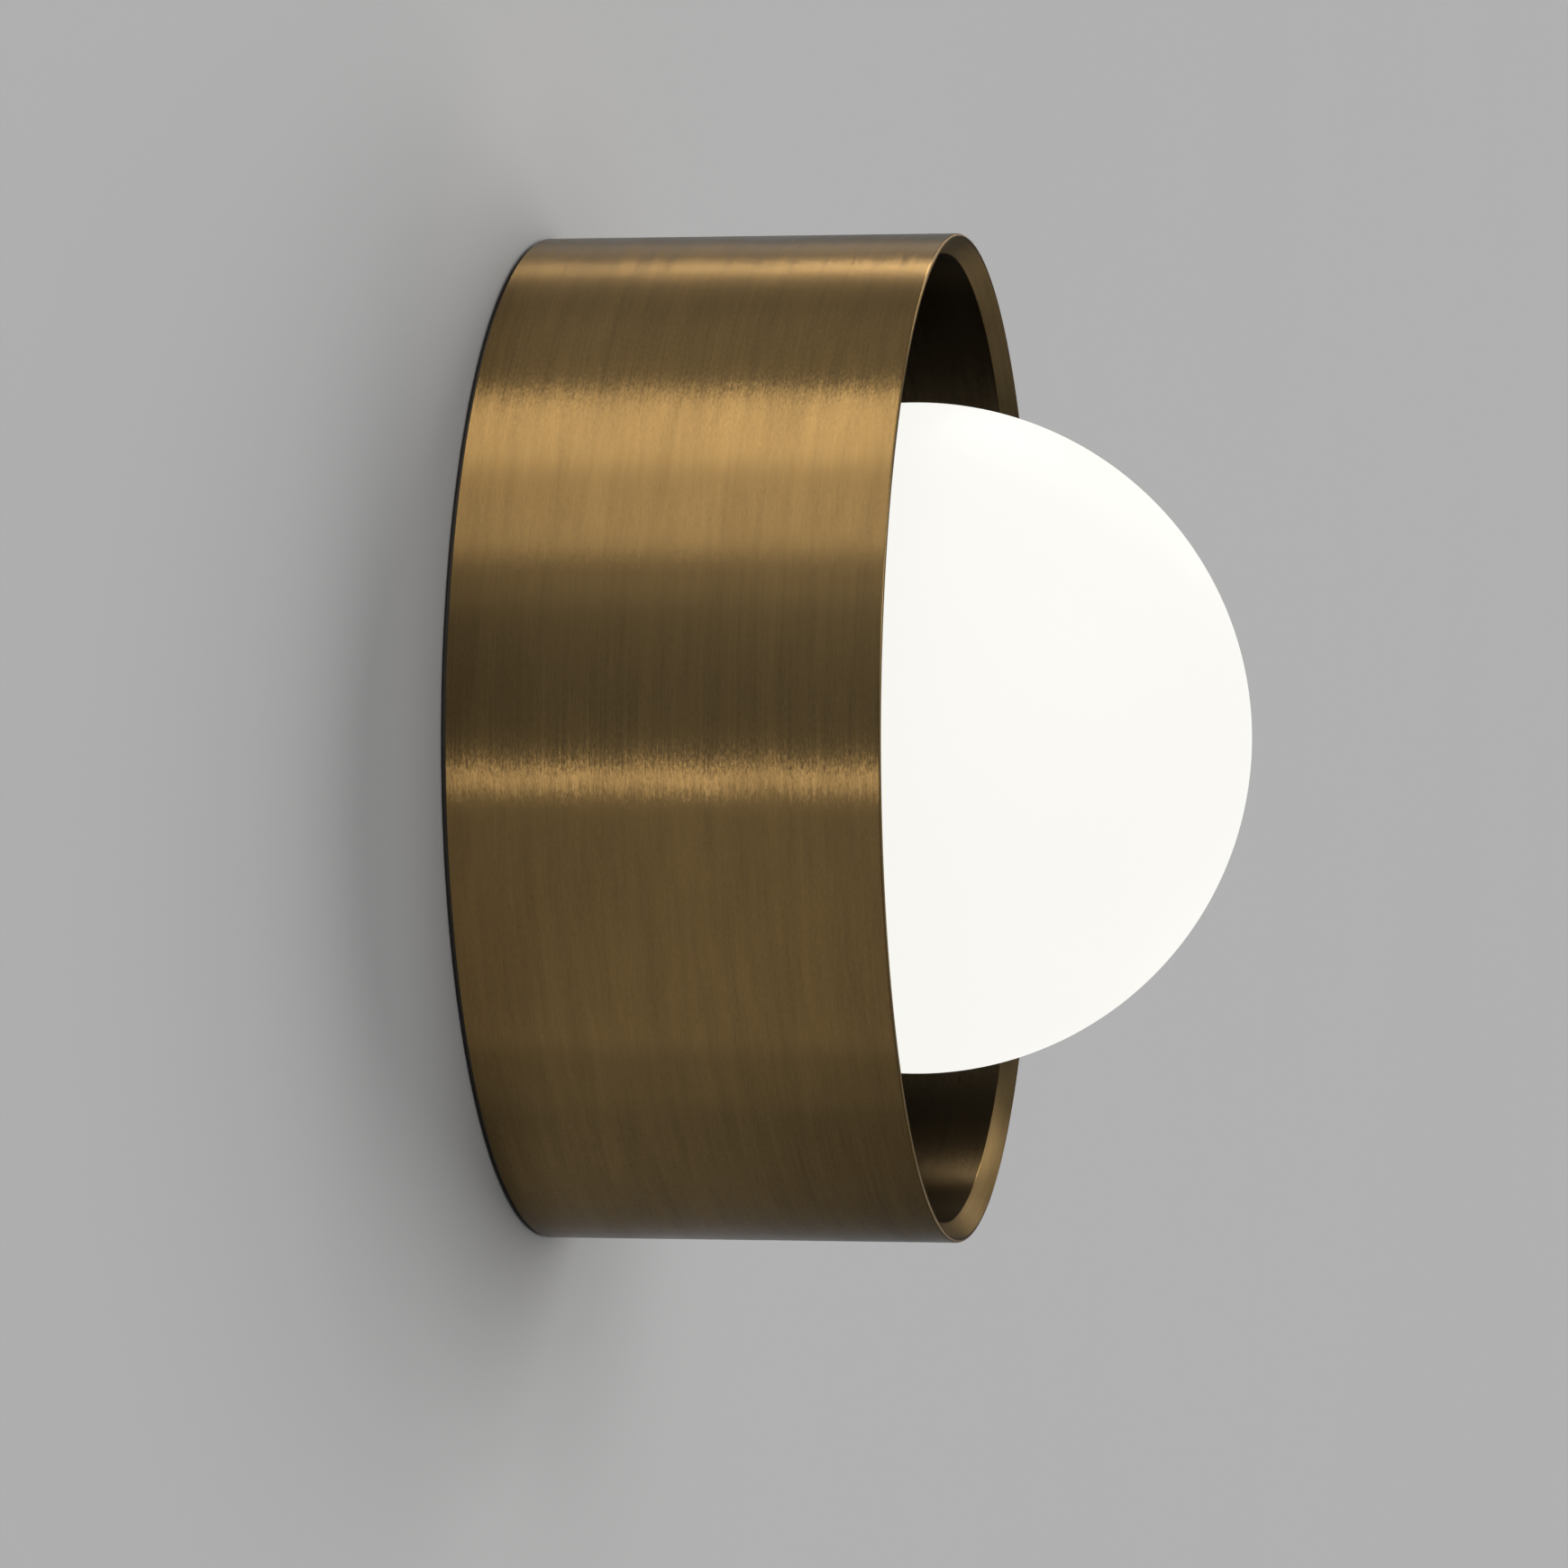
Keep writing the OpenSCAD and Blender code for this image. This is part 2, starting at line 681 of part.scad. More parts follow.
module terminal_screws() {
    seat = pole_z - cage[1] / 2 - cage_slack;
    head_z0 = block_z0 + terminal_sunk;
    tip = pole_z - wire_r - screw_slack;
    color("#c9cbcd") out() at_poles() both_sides(0, terminal_screw_y) difference() {
        union() {
            translate([0, 0, head_z0]) cylinder(r = terminal_head_r, h = seat - head_z0);
            translate([0, 0, head_z0]) cylinder(r = terminal_screw_r, h = tip - head_z0);
        }
        translate([-terminal_head_r - cut, -terminal_head_r * slot_width_share / 2, head_z0 - cut])
            cube([2 * (terminal_head_r + cut), terminal_head_r * slot_width_share, cut + cage_wall]);
    }
}

module block_nut() {
    color("#c9cbcd") out() translate([pole_pitch / 2, -block_y, block_nut_z])
        nut(m3_nut, block_stud_r);
}

module earth_tag() {
    barrel_x = earth_x - tag_reach;
    color("#d2c7ae") out() difference() {
        union() {
            translate([earth_x, -earth_y, pan_under - tag_t]) cylinder(r = tag_r, h = tag_t);
            translate([barrel_x - bite, -earth_y - tag_barrel_r, pan_under - tag_t])
                cube([tag_reach, 2 * tag_barrel_r, tag_t]);
            translate([barrel_x - tag_barrel_len, -earth_y, tag_barrel_z]) rotate([0, 90, 0])
                cylinder(r = tag_barrel_r, h = tag_barrel_len);
        }
        translate([earth_x, -earth_y, 0])
            hole(earth_stud_r + screw_slack, pan_under - tag_t, pan_under);
        translate([barrel_x - tag_barrel_len, -earth_y, tag_barrel_z]) rotate([0, 90, 0])
            translate([0, 0, -cut])
                cylinder(r = wire_r + cement_gap, h = cut + tag_barrel_len - bite);
    }
}

module earth_washer() {
    top = pan_under - tag_t;
    color("#c9cbcd") out() translate([earth_x, -earth_y, 0])
        collar_ring(earth_stud_r + screw_slack, tag_r, top - washer_t, top);
}

module earth_nut() {
    color("#c9cbcd") out()
        translate([earth_x, -earth_y, pan_under - tag_t - washer_t - m4_nut[1]])
            nut(m4_nut, earth_stud_r);
}

// Route of a lead from the socket through the grommet to a pole
function lead_route(side, pole_x) =
    let (face = -block_y + block_t / 2)
    [
        [side * pin_pitch / 2, 0, contact_z0 - lead_gap],
        [side * pin_pitch / 2, 0, contact_z0 - lead_gap - lead_drop],
        [side * lead_x, 0, cup_floor + grommet_flange_t],
        [side * lead_x, 0, cup_lift - grommet_flange_t],
        [side * (lead_x + spread_x) / 2, -bend_reach, under_z],
        [side * spread_x, -foot_screw_y + m3_nut[0] / 2, under_z],
        [side * spread_x, -foot_screw_y - m3_nut[0] / 2, under_z],
        [(side * spread_x + pole_x) / 2, -cup_r, under_z],
        [pole_x, face + wire_d, pole_z],
        [pole_x, face, pole_z],
        [pole_x, face - wire_end_depth, pole_z]
    ];

module live_wire() {
    color("#6b3f1e") out() wire(lead_route(-1, -pole_pitch), [1, 0, 0]);
}

module neutral_wire() {
    color("#2f5fa8") out() wire(lead_route(1, 0), [1, 0, 0]);
}

module earth_wire() {
    face = -block_y + block_t / 2;
    turn = earth_x - tag_reach - tag_barrel_len - pole_pitch;
    color("#5f9a3c") out() wire([
        [pole_pitch, face - wire_end_depth, pole_z],
        [pole_pitch, face, pole_z],
        [pole_pitch, face + wire_d, pole_z],
        [pole_pitch + turn / 3, -earth_y - wire_d / 2, (pole_z + tag_barrel_z) / 2],
        [pole_pitch + turn, -earth_y, tag_barrel_z],
        [pole_pitch + turn + tag_barrel_len / 2, -earth_y, tag_barrel_z]
    ], [0, 0, 1]);
}

ring_shade();
ring_grub_screws();
wall_gasket();
wall_bar();
bar_pillars();
back_pan();
pan_studs();
pan_screws();
pan_washers();
globe_cup();
cup_screws();
cup_nuts();
globe();
globe_collar();
globe_seal();
socket_bracket();
bracket_screws();
bracket_nuts();
lamp_socket();
socket_screws();
socket_contacts();
wire_grommet();
lamp_base();
lamp_cover();
lamp_pins();
lamp_board();
lamp_leds();
terminal_block();
terminal_cages();
terminal_screws();
block_nut();
earth_tag();
earth_washer();
earth_nut();
live_wire();
neutral_wire();
earth_wire();
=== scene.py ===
"""Orb wall light: the looks of the brass ring, the opal globe and their fittings.

The packed CAD model is the frame. The wall is the plane y = 0, the light stands out
along -Y and Z is up. All lengths are in metres.
"""

import math

import bmesh
import bpy
from bpy.props import FloatProperty, FloatVectorProperty, IntProperty, PointerProperty
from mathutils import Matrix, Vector


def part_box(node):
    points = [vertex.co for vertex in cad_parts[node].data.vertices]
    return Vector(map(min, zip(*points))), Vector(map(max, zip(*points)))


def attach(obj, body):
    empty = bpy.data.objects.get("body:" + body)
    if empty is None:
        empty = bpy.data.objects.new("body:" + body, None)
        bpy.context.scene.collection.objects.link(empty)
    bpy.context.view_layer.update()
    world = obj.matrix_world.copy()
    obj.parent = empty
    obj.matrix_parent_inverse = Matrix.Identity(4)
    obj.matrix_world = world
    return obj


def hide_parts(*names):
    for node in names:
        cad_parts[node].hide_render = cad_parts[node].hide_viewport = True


bl_info = {
    "name": "Orb wall light",
    "version": (1, 0, 0),
    "blender": (4, 5, 0),
    "location": "View3D > Sidebar > Orb light",
    "description": "Builds a brushed brass ring with an opal globe on a wall",
    "category": "Add Mesh",
}

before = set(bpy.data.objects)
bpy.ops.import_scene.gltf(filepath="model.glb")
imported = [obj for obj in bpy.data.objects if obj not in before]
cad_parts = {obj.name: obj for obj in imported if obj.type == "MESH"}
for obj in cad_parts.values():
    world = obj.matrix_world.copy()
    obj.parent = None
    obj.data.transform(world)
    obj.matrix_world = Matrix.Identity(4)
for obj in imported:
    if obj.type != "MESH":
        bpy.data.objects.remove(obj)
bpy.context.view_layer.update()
ring_low, ring_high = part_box("ring_shade")
pan_low, pan_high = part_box("back_pan")
globe_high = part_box("globe")[1]

PANEL_TAB = "Orb light"


def length(name, description, default):
    return FloatProperty(
        name=name, description=description, default=default, min=0.0, subtype="DISTANCE",
        unit="LENGTH", precision=5,
    )


def colour(name, description, default):
    return FloatVectorProperty(
        name=name, description=description, default=default, size=3, min=0.0, max=1.0,
        subtype="COLOR",
    )


def share(name, description, default):
    return FloatProperty(
        name=name, description=description, default=default, min=0.0, max=1.0,
        subtype="FACTOR",
    )


class RingSizes(bpy.types.PropertyGroup):
    """Sizes and colours of the brass ring and the pan behind it"""

    radius: length("Radius", "Outside radius of the ring", ring_high.x)
    back: length("Back", "Distance of the ring's back edge from the wall", -ring_high.y)
    front: length("Front", "Distance of the ring's front rim from the wall", -ring_low.y)
    wall: length("Wall", "Thickness of the ring's wall", 0.0035)
    bevel: length("Bevel", "Leg of the bevel inside the front rim", 0.0028)
    edge: length("Edge", "Rounding of the rim's outer edge", 0.0005)
    soft_edge: length("Soft edge", "Rounding of the bevel's two edges", 0.00015)
    grub_height: length("Grub height", "Distance of the grub screws from the wall", 0.0078)
    grub_radius: length("Grub hole", "Radius of the holes for the grub screws", 0.00205)
    segments: IntProperty(
        name="Segments", description="Sides of the turned pieces", default=360, min=48
    )
    brass: colour("Brass", "Colour of the brushed brass", (0.365, 0.243, 0.099))
    worn: colour("Worn brass", "Colour of its brighter brush lines", (0.420, 0.281, 0.116))
    tarnish: colour("Tarnish", "Colour of its darker brush lines", (0.208, 0.142, 0.064))
    # Painted highlight: brighter brass along the rim's edge stands for the edge's glint
    rim_highlight_brass: colour("Edge brass", "Colour of the brass worn bright on the rim",
                       (0.480, 0.350, 0.172))
    bevel_brass: colour("Bevel brass", "Colour of the aged brass of the bevel",
                        (0.350, 0.255, 0.128))
    # Painted shade: a dark copy of the brass stands for the shade inside the ring and on the pan
    inside: colour("Inside", "Colour of the darkened brass inside", (0.068, 0.050, 0.028))
    roughness: share("Roughness", "Roughness of the brushed brass", 0.34)
    brushing: share("Brushing", "How far the brushing stretches a highlight", 1.0)


class PanSizes(bpy.types.PropertyGroup):
    """Sizes of the pan behind the globe"""

    radius: length("Radius", "Outside radius of the pan", pan_high.x)
    face: length("Face", "Distance of the pan's face from the wall", -pan_low.y)
    back: length("Back", "Distance of the pan's edge from the wall", -pan_high.y)
    sheet: length("Sheet", "Thickness of the pan's sheet", 0.0015)
    bend: length("Bend", "Outside radius of the pan's bend", 0.002)
    bore: length("Bore", "Radius of the hole for the cup", 0.0391)
    post: length("Post", "Distance of the pan's screws from the middle", 0.0646)
    post_hole: length("Screw hole", "Radius of the pan's screw holes", 0.0021)
    cup_ring: length("Cup screws", "Radius of the circle of the cup's screws", 0.04555)
    cup_hole: length("Cup screw hole", "Radius of the holes for the cup's screws", 0.0016)


class GlobeSizes(bpy.types.PropertyGroup):
    """Sizes and colours of the opal globe"""

    radius: length("Radius", "Outside radius of the globe", globe_high.x)
    middle: length("Middle", "Distance of the globe's middle from the wall", 0.066214)
    wall: length("Wall", "Thickness of the glass", 0.0028)
    neck: length("Neck", "Outside radius of the neck", 0.0345)
    neck_wall: length("Neck wall", "Thickness of the neck's glass", 0.0025)
    neck_end: length("Neck end", "Distance of the neck's end from the wall", -globe_high.y)
    segments: IntProperty(
        name="Segments", description="Sides of the turned glass", default=192, min=48
    )
    opal: colour("Opal", "Colour of the opal glass", (0.060, 0.0595, 0.057))
    glow: colour("Glow", "Colour of the light in the glass", (1.0, 0.992, 0.950))
    glow_strength: FloatProperty(
        name="Glow strength", description="Brightness of the lit glass", default=0.935, min=0.0
    )


class FittingColours(bpy.types.PropertyGroup):
    """Colours of the fittings behind the globe"""

    screw_brass: colour("Screw brass", "Aged brass screws", (0.36, 0.26, 0.13))
    bright_brass: colour("Bright brass", "Turned brass", (0.72, 0.53, 0.26))
    zinc: colour("Zinc", "Zinc-plated sheet", (0.62, 0.63, 0.65))
    bright_zinc: colour("Bright zinc", "Zinc-plated screws", (0.70, 0.71, 0.73))
    aluminium: colour("Aluminium", "Spun aluminium", (0.74, 0.75, 0.76))
    foam: colour("Foam", "Gasket foam", (0.055, 0.055, 0.056))
    rubber: colour("Rubber", "Moulded rubber", (0.028, 0.028, 0.030))
    silicone: colour("Silicone", "Silicone seal", (0.78, 0.78, 0.75))
    ceramic: colour("Ceramic", "Glazed ceramic", (0.86, 0.84, 0.79))
    bronze: colour("Bronze", "Contact bronze", (0.70, 0.44, 0.22))
    lamp_white: colour("Lamp white", "Moulded base of the lamp", (0.84, 0.83, 0.79))
    diffuser: colour("Diffuser", "Frosted cover of the lamp", (0.90, 0.89, 0.84))
    nickel: colour("Nickel", "Nickel-plated pins", (0.70, 0.68, 0.63))
    board: colour("Board", "White solder mask", (0.80, 0.82, 0.78))
    phosphor: colour("Phosphor", "Yellow lamp chips", (0.86, 0.62, 0.12))
    block: colour("Block", "Terminal block", (0.78, 0.76, 0.69))
    tin: colour("Tin", "Tinned copper", (0.68, 0.65, 0.58))
    live: colour("Live", "Insulation of the live lead", (0.130, 0.045, 0.015))
    neutral: colour("Neutral", "Insulation of the neutral lead", (0.020, 0.090, 0.360))
    earth_green: colour("Earth green", "Green of the earth lead", (0.045, 0.250, 0.040))
    earth_yellow: colour("Earth yellow", "Yellow of the earth lead", (0.720, 0.560, 0.030))


class StudioSizes(bpy.types.PropertyGroup):
    """Sizes and colours of the wall, the floor and the camera"""

    wall_width: length("Wall width", "Width of the wall", 10.0)
    wall_height: length("Wall height", "Height of the wall", 7.0)
    wall_hole: length("Wall hole", "Radius of the opening behind the light", 0.0882)
    floor_drop: length("Floor drop", "Depth of the floor under the light", 3.2)
    wall_colour: colour("Wall colour", "Colour of the painted wall", (0.428, 0.426, 0.424))
    floor_colour: colour("Floor colour", "Colour of the floor", (0.60, 0.597, 0.59))
    room: colour("Room", "Colour of the light from all sides", (0.099, 0.103, 0.109))
    camera_distance: length("Camera distance", "From the camera to its target", 1.268)
    target_depth: length("Target depth", "Distance of the camera's target from the wall", 0.0375)
    lens: FloatProperty(
        name="Lens", description="Focal length of the camera in millimetres", default=162.0,
        min=1.0,
    )


# Shader nodes

# Sockets of a Mix node that mixes colours: its two inputs and its result
MIX_INPUTS = (6, 7)
MIX_RESULT = 2


def scaled(tint, factor):
    """A tint with its three parts multiplied by a factor"""
    return [factor * part for part in tint]


class Finish:
    """A node material with one Principled shader, built up one node at a time"""

    def __init__(self, name):
        self.material = bpy.data.materials.new(name)
        self.material.use_nodes = True
        self.tree = self.material.node_tree
        self.shader = self.tree.nodes["Principled BSDF"]
        self.place = self.add("ShaderNodeTexCoord").outputs["Object"]

    def add(self, kind, **values):
        node = self.tree.nodes.new(kind)
        for key, value in values.items():
            setattr(node, key, value)
        return node

    def link(self, source, target):
        self.tree.links.new(source, target)

    def set(self, **values):
        for key, value in values.items():
            self.shader.inputs[key.replace("_", " ")].default_value = value

    def stretched(self, scale):
        mapping = self.add("ShaderNodeMapping")
        mapping.inputs["Scale"].default_value = scale
        self.link(self.place, mapping.inputs["Vector"])
        return mapping.outputs["Vector"]

    def noise(self, scale, detail=4.0, stretch=(1, 1, 1), roughness=0.55):
        node = self.add("ShaderNodeTexNoise")
        node.inputs["Scale"].default_value = scale
        node.inputs["Detail"].default_value = detail
        node.inputs["Roughness"].default_value = roughness
        self.link(self.stretched(stretch), node.inputs["Vector"])
        return node.outputs["Fac"]

    def parts_of_place(self):
        """The X, Y and Z of a place on the piece"""
        split = self.add("ShaderNodeSeparateXYZ")
        self.link(self.place, split.inputs["Vector"])
        return split.outputs

    def lathe_rings(self, pitch):
        """Noise that changes along the Y axis and away from it, and not round it"""
        away = self.add("ShaderNodeVectorMath", operation="LENGTH")
        self.link(self.stretched((1, 0, 1)), away.inputs[0])
        joined = self.add("ShaderNodeCombineXYZ")
        self.link(away.outputs["Value"], joined.inputs["X"])
        self.link(self.parts_of_place()["Y"], joined.inputs["Y"])
        node = self.add("ShaderNodeTexNoise")
        node.inputs["Scale"].default_value = pitch
        node.inputs["Detail"].default_value = 4.0
        self.link(joined.outputs["Vector"], node.inputs["Vector"])
        return node.outputs["Fac"]

    def cells(self, scale):
        node = self.add("ShaderNodeTexVoronoi")
        node.inputs["Scale"].default_value = scale
        self.link(self.place, node.inputs["Vector"])
        return node.outputs

    def range(self, value, low, high, to_low, to_high):
        node = self.add("ShaderNodeMapRange")
        self.link(value, node.inputs["Value"])
        for key, number in zip(
            ("From Min", "From Max", "To Min", "To Max"), (low, high, to_low, to_high)
        ):
            node.inputs[key].default_value = number
        return node.outputs["Result"]

    def spread(self, noise, to_low, to_high):
        """Maps the middle of a noise's values to new limits"""
        return self.range(noise, 0.3, 0.7, to_low, to_high)

    def math(self, operation, first, second):
        node = self.add("ShaderNodeMath", operation=operation)
        for socket, value in zip(node.inputs, (first, second)):
            if isinstance(value, (int, float)):
                socket.default_value = value
            else:
                self.link(value, socket)
        return node.outputs["Value"]

    def total(self, value, *others):
        for other in others:
            value = self.math("ADD", value, other)
        return value

    def blend(self, factor, first, second):
        node = self.add("ShaderNodeMix", data_type="RGBA")
        self.link(factor, node.inputs["Factor"])
        for socket, value in zip(MIX_INPUTS, (first, second)):
            if hasattr(value, "node"):
                self.link(value, node.inputs[socket])
            else:
                node.inputs[socket].default_value = (*value, 1.0)
        return node.outputs[MIX_RESULT]

    def bump(self, height, distance, strength, below=None):
        node = self.add("ShaderNodeBump")
        node.inputs["Distance"].default_value = distance
        node.inputs["Strength"].default_value = strength
        self.link(height, node.inputs["Height"])
        if below is not None:
            self.link(below, node.inputs["Normal"])
        return node.outputs["Normal"]

    def brushed_metal(self, brushing, reflection):
        """Metal brushed round the Y axis: gives the direction of its brush lines"""
        around = self.add("ShaderNodeTangent", direction_type="RADIAL", axis="Y")
        self.link(around.outputs["Tangent"], self.shader.inputs["Tangent"])
        self.set(Metallic=1.0, Anisotropic=brushing, Anisotropic_Rotation=0.25,
                 Specular_Tint=(*reflection, 1.0))
        return around.outputs["Tangent"]

    def leaned(self, direction, amount, normal):
        """A normal that leans by an amount towards a direction"""
        push = self.add("ShaderNodeVectorMath", operation="SCALE")
        self.link(direction, push.inputs["Vector"])
        self.link(amount, push.inputs["Scale"])
        total = self.add("ShaderNodeVectorMath", operation="ADD")
        self.link(normal, total.inputs[0])
        self.link(push.outputs["Vector"], total.inputs[1])
        unit = self.add("ShaderNodeVectorMath", operation="NORMALIZE")
        self.link(total.outputs["Vector"], unit.inputs["Vector"])
        return unit.outputs["Vector"]

    def use(self, base, roughness, normal):
        """Links the shader's three main inputs and gives the finished material"""
        for socket, value in zip(("Base Color", "Roughness", "Normal"),
                                 (base, roughness, normal)):
            self.link(value, self.shader.inputs[socket])
        return self.material


def brushed_brass(name, sizes, painted_shade=False):
    """Brass with fine brush lines that run round the ring's axis; its dark copy paints the shade
    inside the ring and on the pan
    """
    finish = Finish(name)
    lines = finish.noise(1.0, 6.0, (16.0, 1300.0, 16.0), 0.8)
    strokes = finish.noise(1.0, 5.0, (30.0, 420.0, 30.0), 0.7)
    grain = finish.noise(1.0, 2.0, (1100.0, 3000.0, 1100.0), 0.6)
    smudge = finish.noise(1.0, 4.0, (26.0, 60.0, 26.0))
    fine = finish.range(lines, 0.34, 0.66, 0.0, 0.5)
    wide = finish.range(strokes, 0.36, 0.64, 0.0, 0.25)
    specks = finish.range(grain, 0.34, 0.66, 0.0, 0.25)
    mixed = finish.total(fine, wide, specks)
    rough = sizes.roughness
    # The dark copy is painted shade: it keeps the ring's inside and the pan dark beside the lit
    # globe
    if painted_shade:
        rough += 0.08
        reflection = (0.62, 0.60, 0.56)
        base = finish.blend(mixed, sizes.inside, scaled(sizes.inside, 1.5))
    else:
        reflection = (0.52, 0.54, 0.57)
        base = finish.blend(mixed, sizes.tarnish, finish.blend(smudge, sizes.brass, sizes.worn))
    dull = finish.total(finish.spread(lines, -0.06, 0.06),
                        finish.spread(smudge, rough - 0.03, rough + 0.03))
    around = finish.brushed_metal(sizes.brushing, reflection)
    lean = finish.total(finish.range(lines, 0.0, 1.0, -0.03, 0.03),
                        finish.range(strokes, 0.0, 1.0, -0.01, 0.01),
                        finish.range(grain, 0.0, 1.0, -0.04, 0.04))
    leaned = finish.leaned(around, lean, finish.bump(lines, 0.00001, 0.4))
    return finish.use(base, dull, leaned)


def cut_bevel(name, sizes):
    """Brass of the bevel: cut on a lathe, then aged, with fine rings round the axis"""
    finish = Finish(name)
    rings = finish.noise(1.0, 4.0, (40.0, 2600.0, 40.0), 0.7)
    cloud = finish.noise(1.0, 4.0, (70.0, 300.0, 70.0))
    aged = finish.total(finish.range(rings, 0.35, 0.65, 0.0, 0.5),
                        finish.range(cloud, 0.35, 0.65, 0.0, 0.5))
    base = finish.blend(aged, scaled(sizes.bevel_brass, 0.66), sizes.bevel_brass)
    finish.brushed_metal(0.35, (0.52, 0.51, 0.49))
    return finish.use(base, finish.spread(cloud, 0.30, 0.37),
                      finish.bump(rings, 0.000008, 0.4))


def painted_highlight_rim(name, sizes):
    """Brass made bright along the rim's edge as a painted highlight of its glint, with small
    dull nicks left in it
    """
    finish = Finish(name)
    highlight_breakup = finish.noise(1.0, 4.0, (90.0, 900.0, 90.0), 0.65)
    base = finish.blend(finish.range(highlight_breakup, 0.42, 0.62, 0.0, 1.0), sizes.rim_highlight_brass,
                        sizes.worn)
    finish.set(Metallic=1.0)
    return finish.use(base, finish.spread(highlight_breakup, 0.26, 0.40),
                      finish.bump(highlight_breakup, 0.00001, 0.4))


def turned_metal(name, tint, roughness=0.28, pitch=1400.0, depth=0.00001):
    """Metal with the fine rings of a lathe or a press round the Y axis"""
    finish = Finish(name)
    rings = finish.lathe_rings(pitch)
    spots = finish.noise(260.0, 4.0)
    base = finish.blend(finish.range(rings, 0.35, 0.70, 0.0, 1.0), tint, scaled(tint, 0.84))
    dull = finish.total(finish.spread(spots, roughness - 0.04, roughness + 0.04),
                        finish.spread(rings, -0.03, 0.05))
    finish.set(Metallic=1.0)
    return finish.use(base, dull, finish.bump(rings, depth, 0.4))


def screw_metal(name, tint, roughness=0.28):
    """Turned metal of screws, nuts and washers, with wide and faint rings"""
    return turned_metal(name, tint, roughness, 500.0, 0.000003)


def plated_sheet(name, tint):
    """Zinc-plated steel with its faint crystal patches and rolling lines"""
    finish = Finish(name)
    patch = finish.cells(420.0)["Color"]
    grey = finish.add("ShaderNodeSeparateColor")
    finish.link(patch, grey.inputs["Color"])
    lines = finish.noise(1.0, 4.0, (1500.0, 40.0, 40.0), 0.6)
    base = finish.blend(finish.range(grey.outputs["Red"], 0.0, 1.0, 0.0, 0.5), tint,
                        scaled(tint, 0.78))
    dull = finish.range(grey.outputs["Green"], 0.0, 1.0, 0.29, 0.43)
    finish.set(Metallic=1.0)
    return finish.use(base, dull, finish.bump(lines, 0.000008, 0.3))


def moulded(name, tint, roughness=0.45, grain=2200.0, depth=0.000012, shade=0.9):
    """Moulded plastic or rubber with a fine sparked grain and faint flow marks"""
    finish = Finish(name)
    pores = finish.noise(grain, 3.0)
    flow = finish.noise(60.0, 3.0)
    base = finish.blend(finish.spread(flow, 0.0, 1.0), tint, scaled(tint, shade))
    dull = finish.spread(flow, roughness - 0.05, roughness + 0.06)
    return finish.use(base, dull, finish.bump(pores, depth, 0.5))


def glazed(name, tint):
    """Glazed ceramic: a smooth coat over a faintly uneven body"""
    finish = Finish(name)
    body = finish.noise(90.0, 4.0)
    specks = finish.range(finish.noise(1500.0, 2.0), 0.68, 0.74, 0.0, 0.5)
    base = finish.blend(specks, tint, scaled(tint, 0.55))
    finish.set(Coat_Weight=0.8, Coat_Roughness=0.08)
    dull = finish.spread(body, 0.22, 0.32)
    return finish.use(base, dull, finish.bump(body, 0.00008, 0.4))


def extruded_skin(finish, base, mottle):
    """The soft gloss and the faint grain of a lead's insulation"""
    finish.set(Coat_Weight=0.25, Coat_Roughness=0.3)
    return finish.use(base, finish.spread(mottle, 0.33, 0.42),
                      finish.bump(finish.noise(1600.0, 2.0), 0.000008, 0.5))


def insulation(name, tint):
    """Extruded insulation of one colour"""
    finish = Finish(name)
    mottle = finish.noise(420.0, 3.0)
    base = finish.blend(finish.spread(mottle, 0.0, 1.0), tint, scaled(tint, 0.82))
    return extruded_skin(finish, base, mottle)


def striped_insulation(name, green, yellow):
    """Green and yellow earth insulation, striped along the lead"""
    finish = Finish(name)
    parts = finish.parts_of_place()
    waver = finish.range(finish.noise(120.0, 2.0), 0.0, 1.0, -0.0002, 0.0002)
    across = finish.total(parts["Z"], parts["Y"], waver)
    wave = finish.math("SINE", finish.math("MULTIPLY", across, 2400.0), 0.0)
    base = finish.blend(finish.range(wave, -0.15, 0.15, 0.0, 1.0), green, yellow)
    return extruded_skin(finish, base, finish.noise(420.0))


def opal_glass(name, sizes):
    """Lit opal glass: an even milk-white body with a satin skin"""
    finish = Finish(name)
    cloud = finish.noise(14.0, 3.0)
    seeds = finish.range(finish.noise(900.0, 2.0), 0.70, 0.75, 0.0, 1.0)
    cloudy = finish.spread(cloud, 0.0, 1.0)
    base = finish.blend(cloudy, sizes.opal, scaled(sizes.opal, 0.985))
    lit = finish.blend(cloudy, sizes.glow, scaled(sizes.glow, 0.99))
    finish.link(lit, finish.shader.inputs["Emission Color"])
    finish.set(Emission_Strength=sizes.glow_strength, IOR=1.45, Specular_IOR_Level=0.12)
    dull = finish.spread(cloud, 0.44, 0.50)
    ripple = finish.bump(cloud, 0.00012, 0.4)
    return finish.use(base, dull, finish.bump(seeds, 0.000015, 0.3, ripple))


# Meshes

# Angles from which an edge is sharp on turned pieces and on glass, bevelled, or split
CREASE = math.radians(20)
GLASS_CREASE = math.radians(60)
BEVEL_ANGLE = math.radians(38)
SPLIT_ANGLE = math.radians(30)
WELD_DISTANCE = 0.000002
DRILL_SIDES = 48
# Length of a drill, in thicknesses of what it goes through
DRILL_LENGTH = 3
# Steps of the arcs in the outlines: soft edges, rounded edges and the globe
SOFT_STEPS = 4
EDGE_STEPS = 8
GLOBE_STEPS = 96


def placed(name, data):
    """A new object in the scene's collection"""
    item = bpy.data.objects.new(name, data)
    bpy.context.scene.collection.objects.link(item)
    return item


def finished_mesh(name, shape):
    """The mesh of a bmesh, which is then freed"""
    mesh = bpy.data.meshes.new(name)
    shape.to_mesh(mesh)
    shape.free()
    return mesh


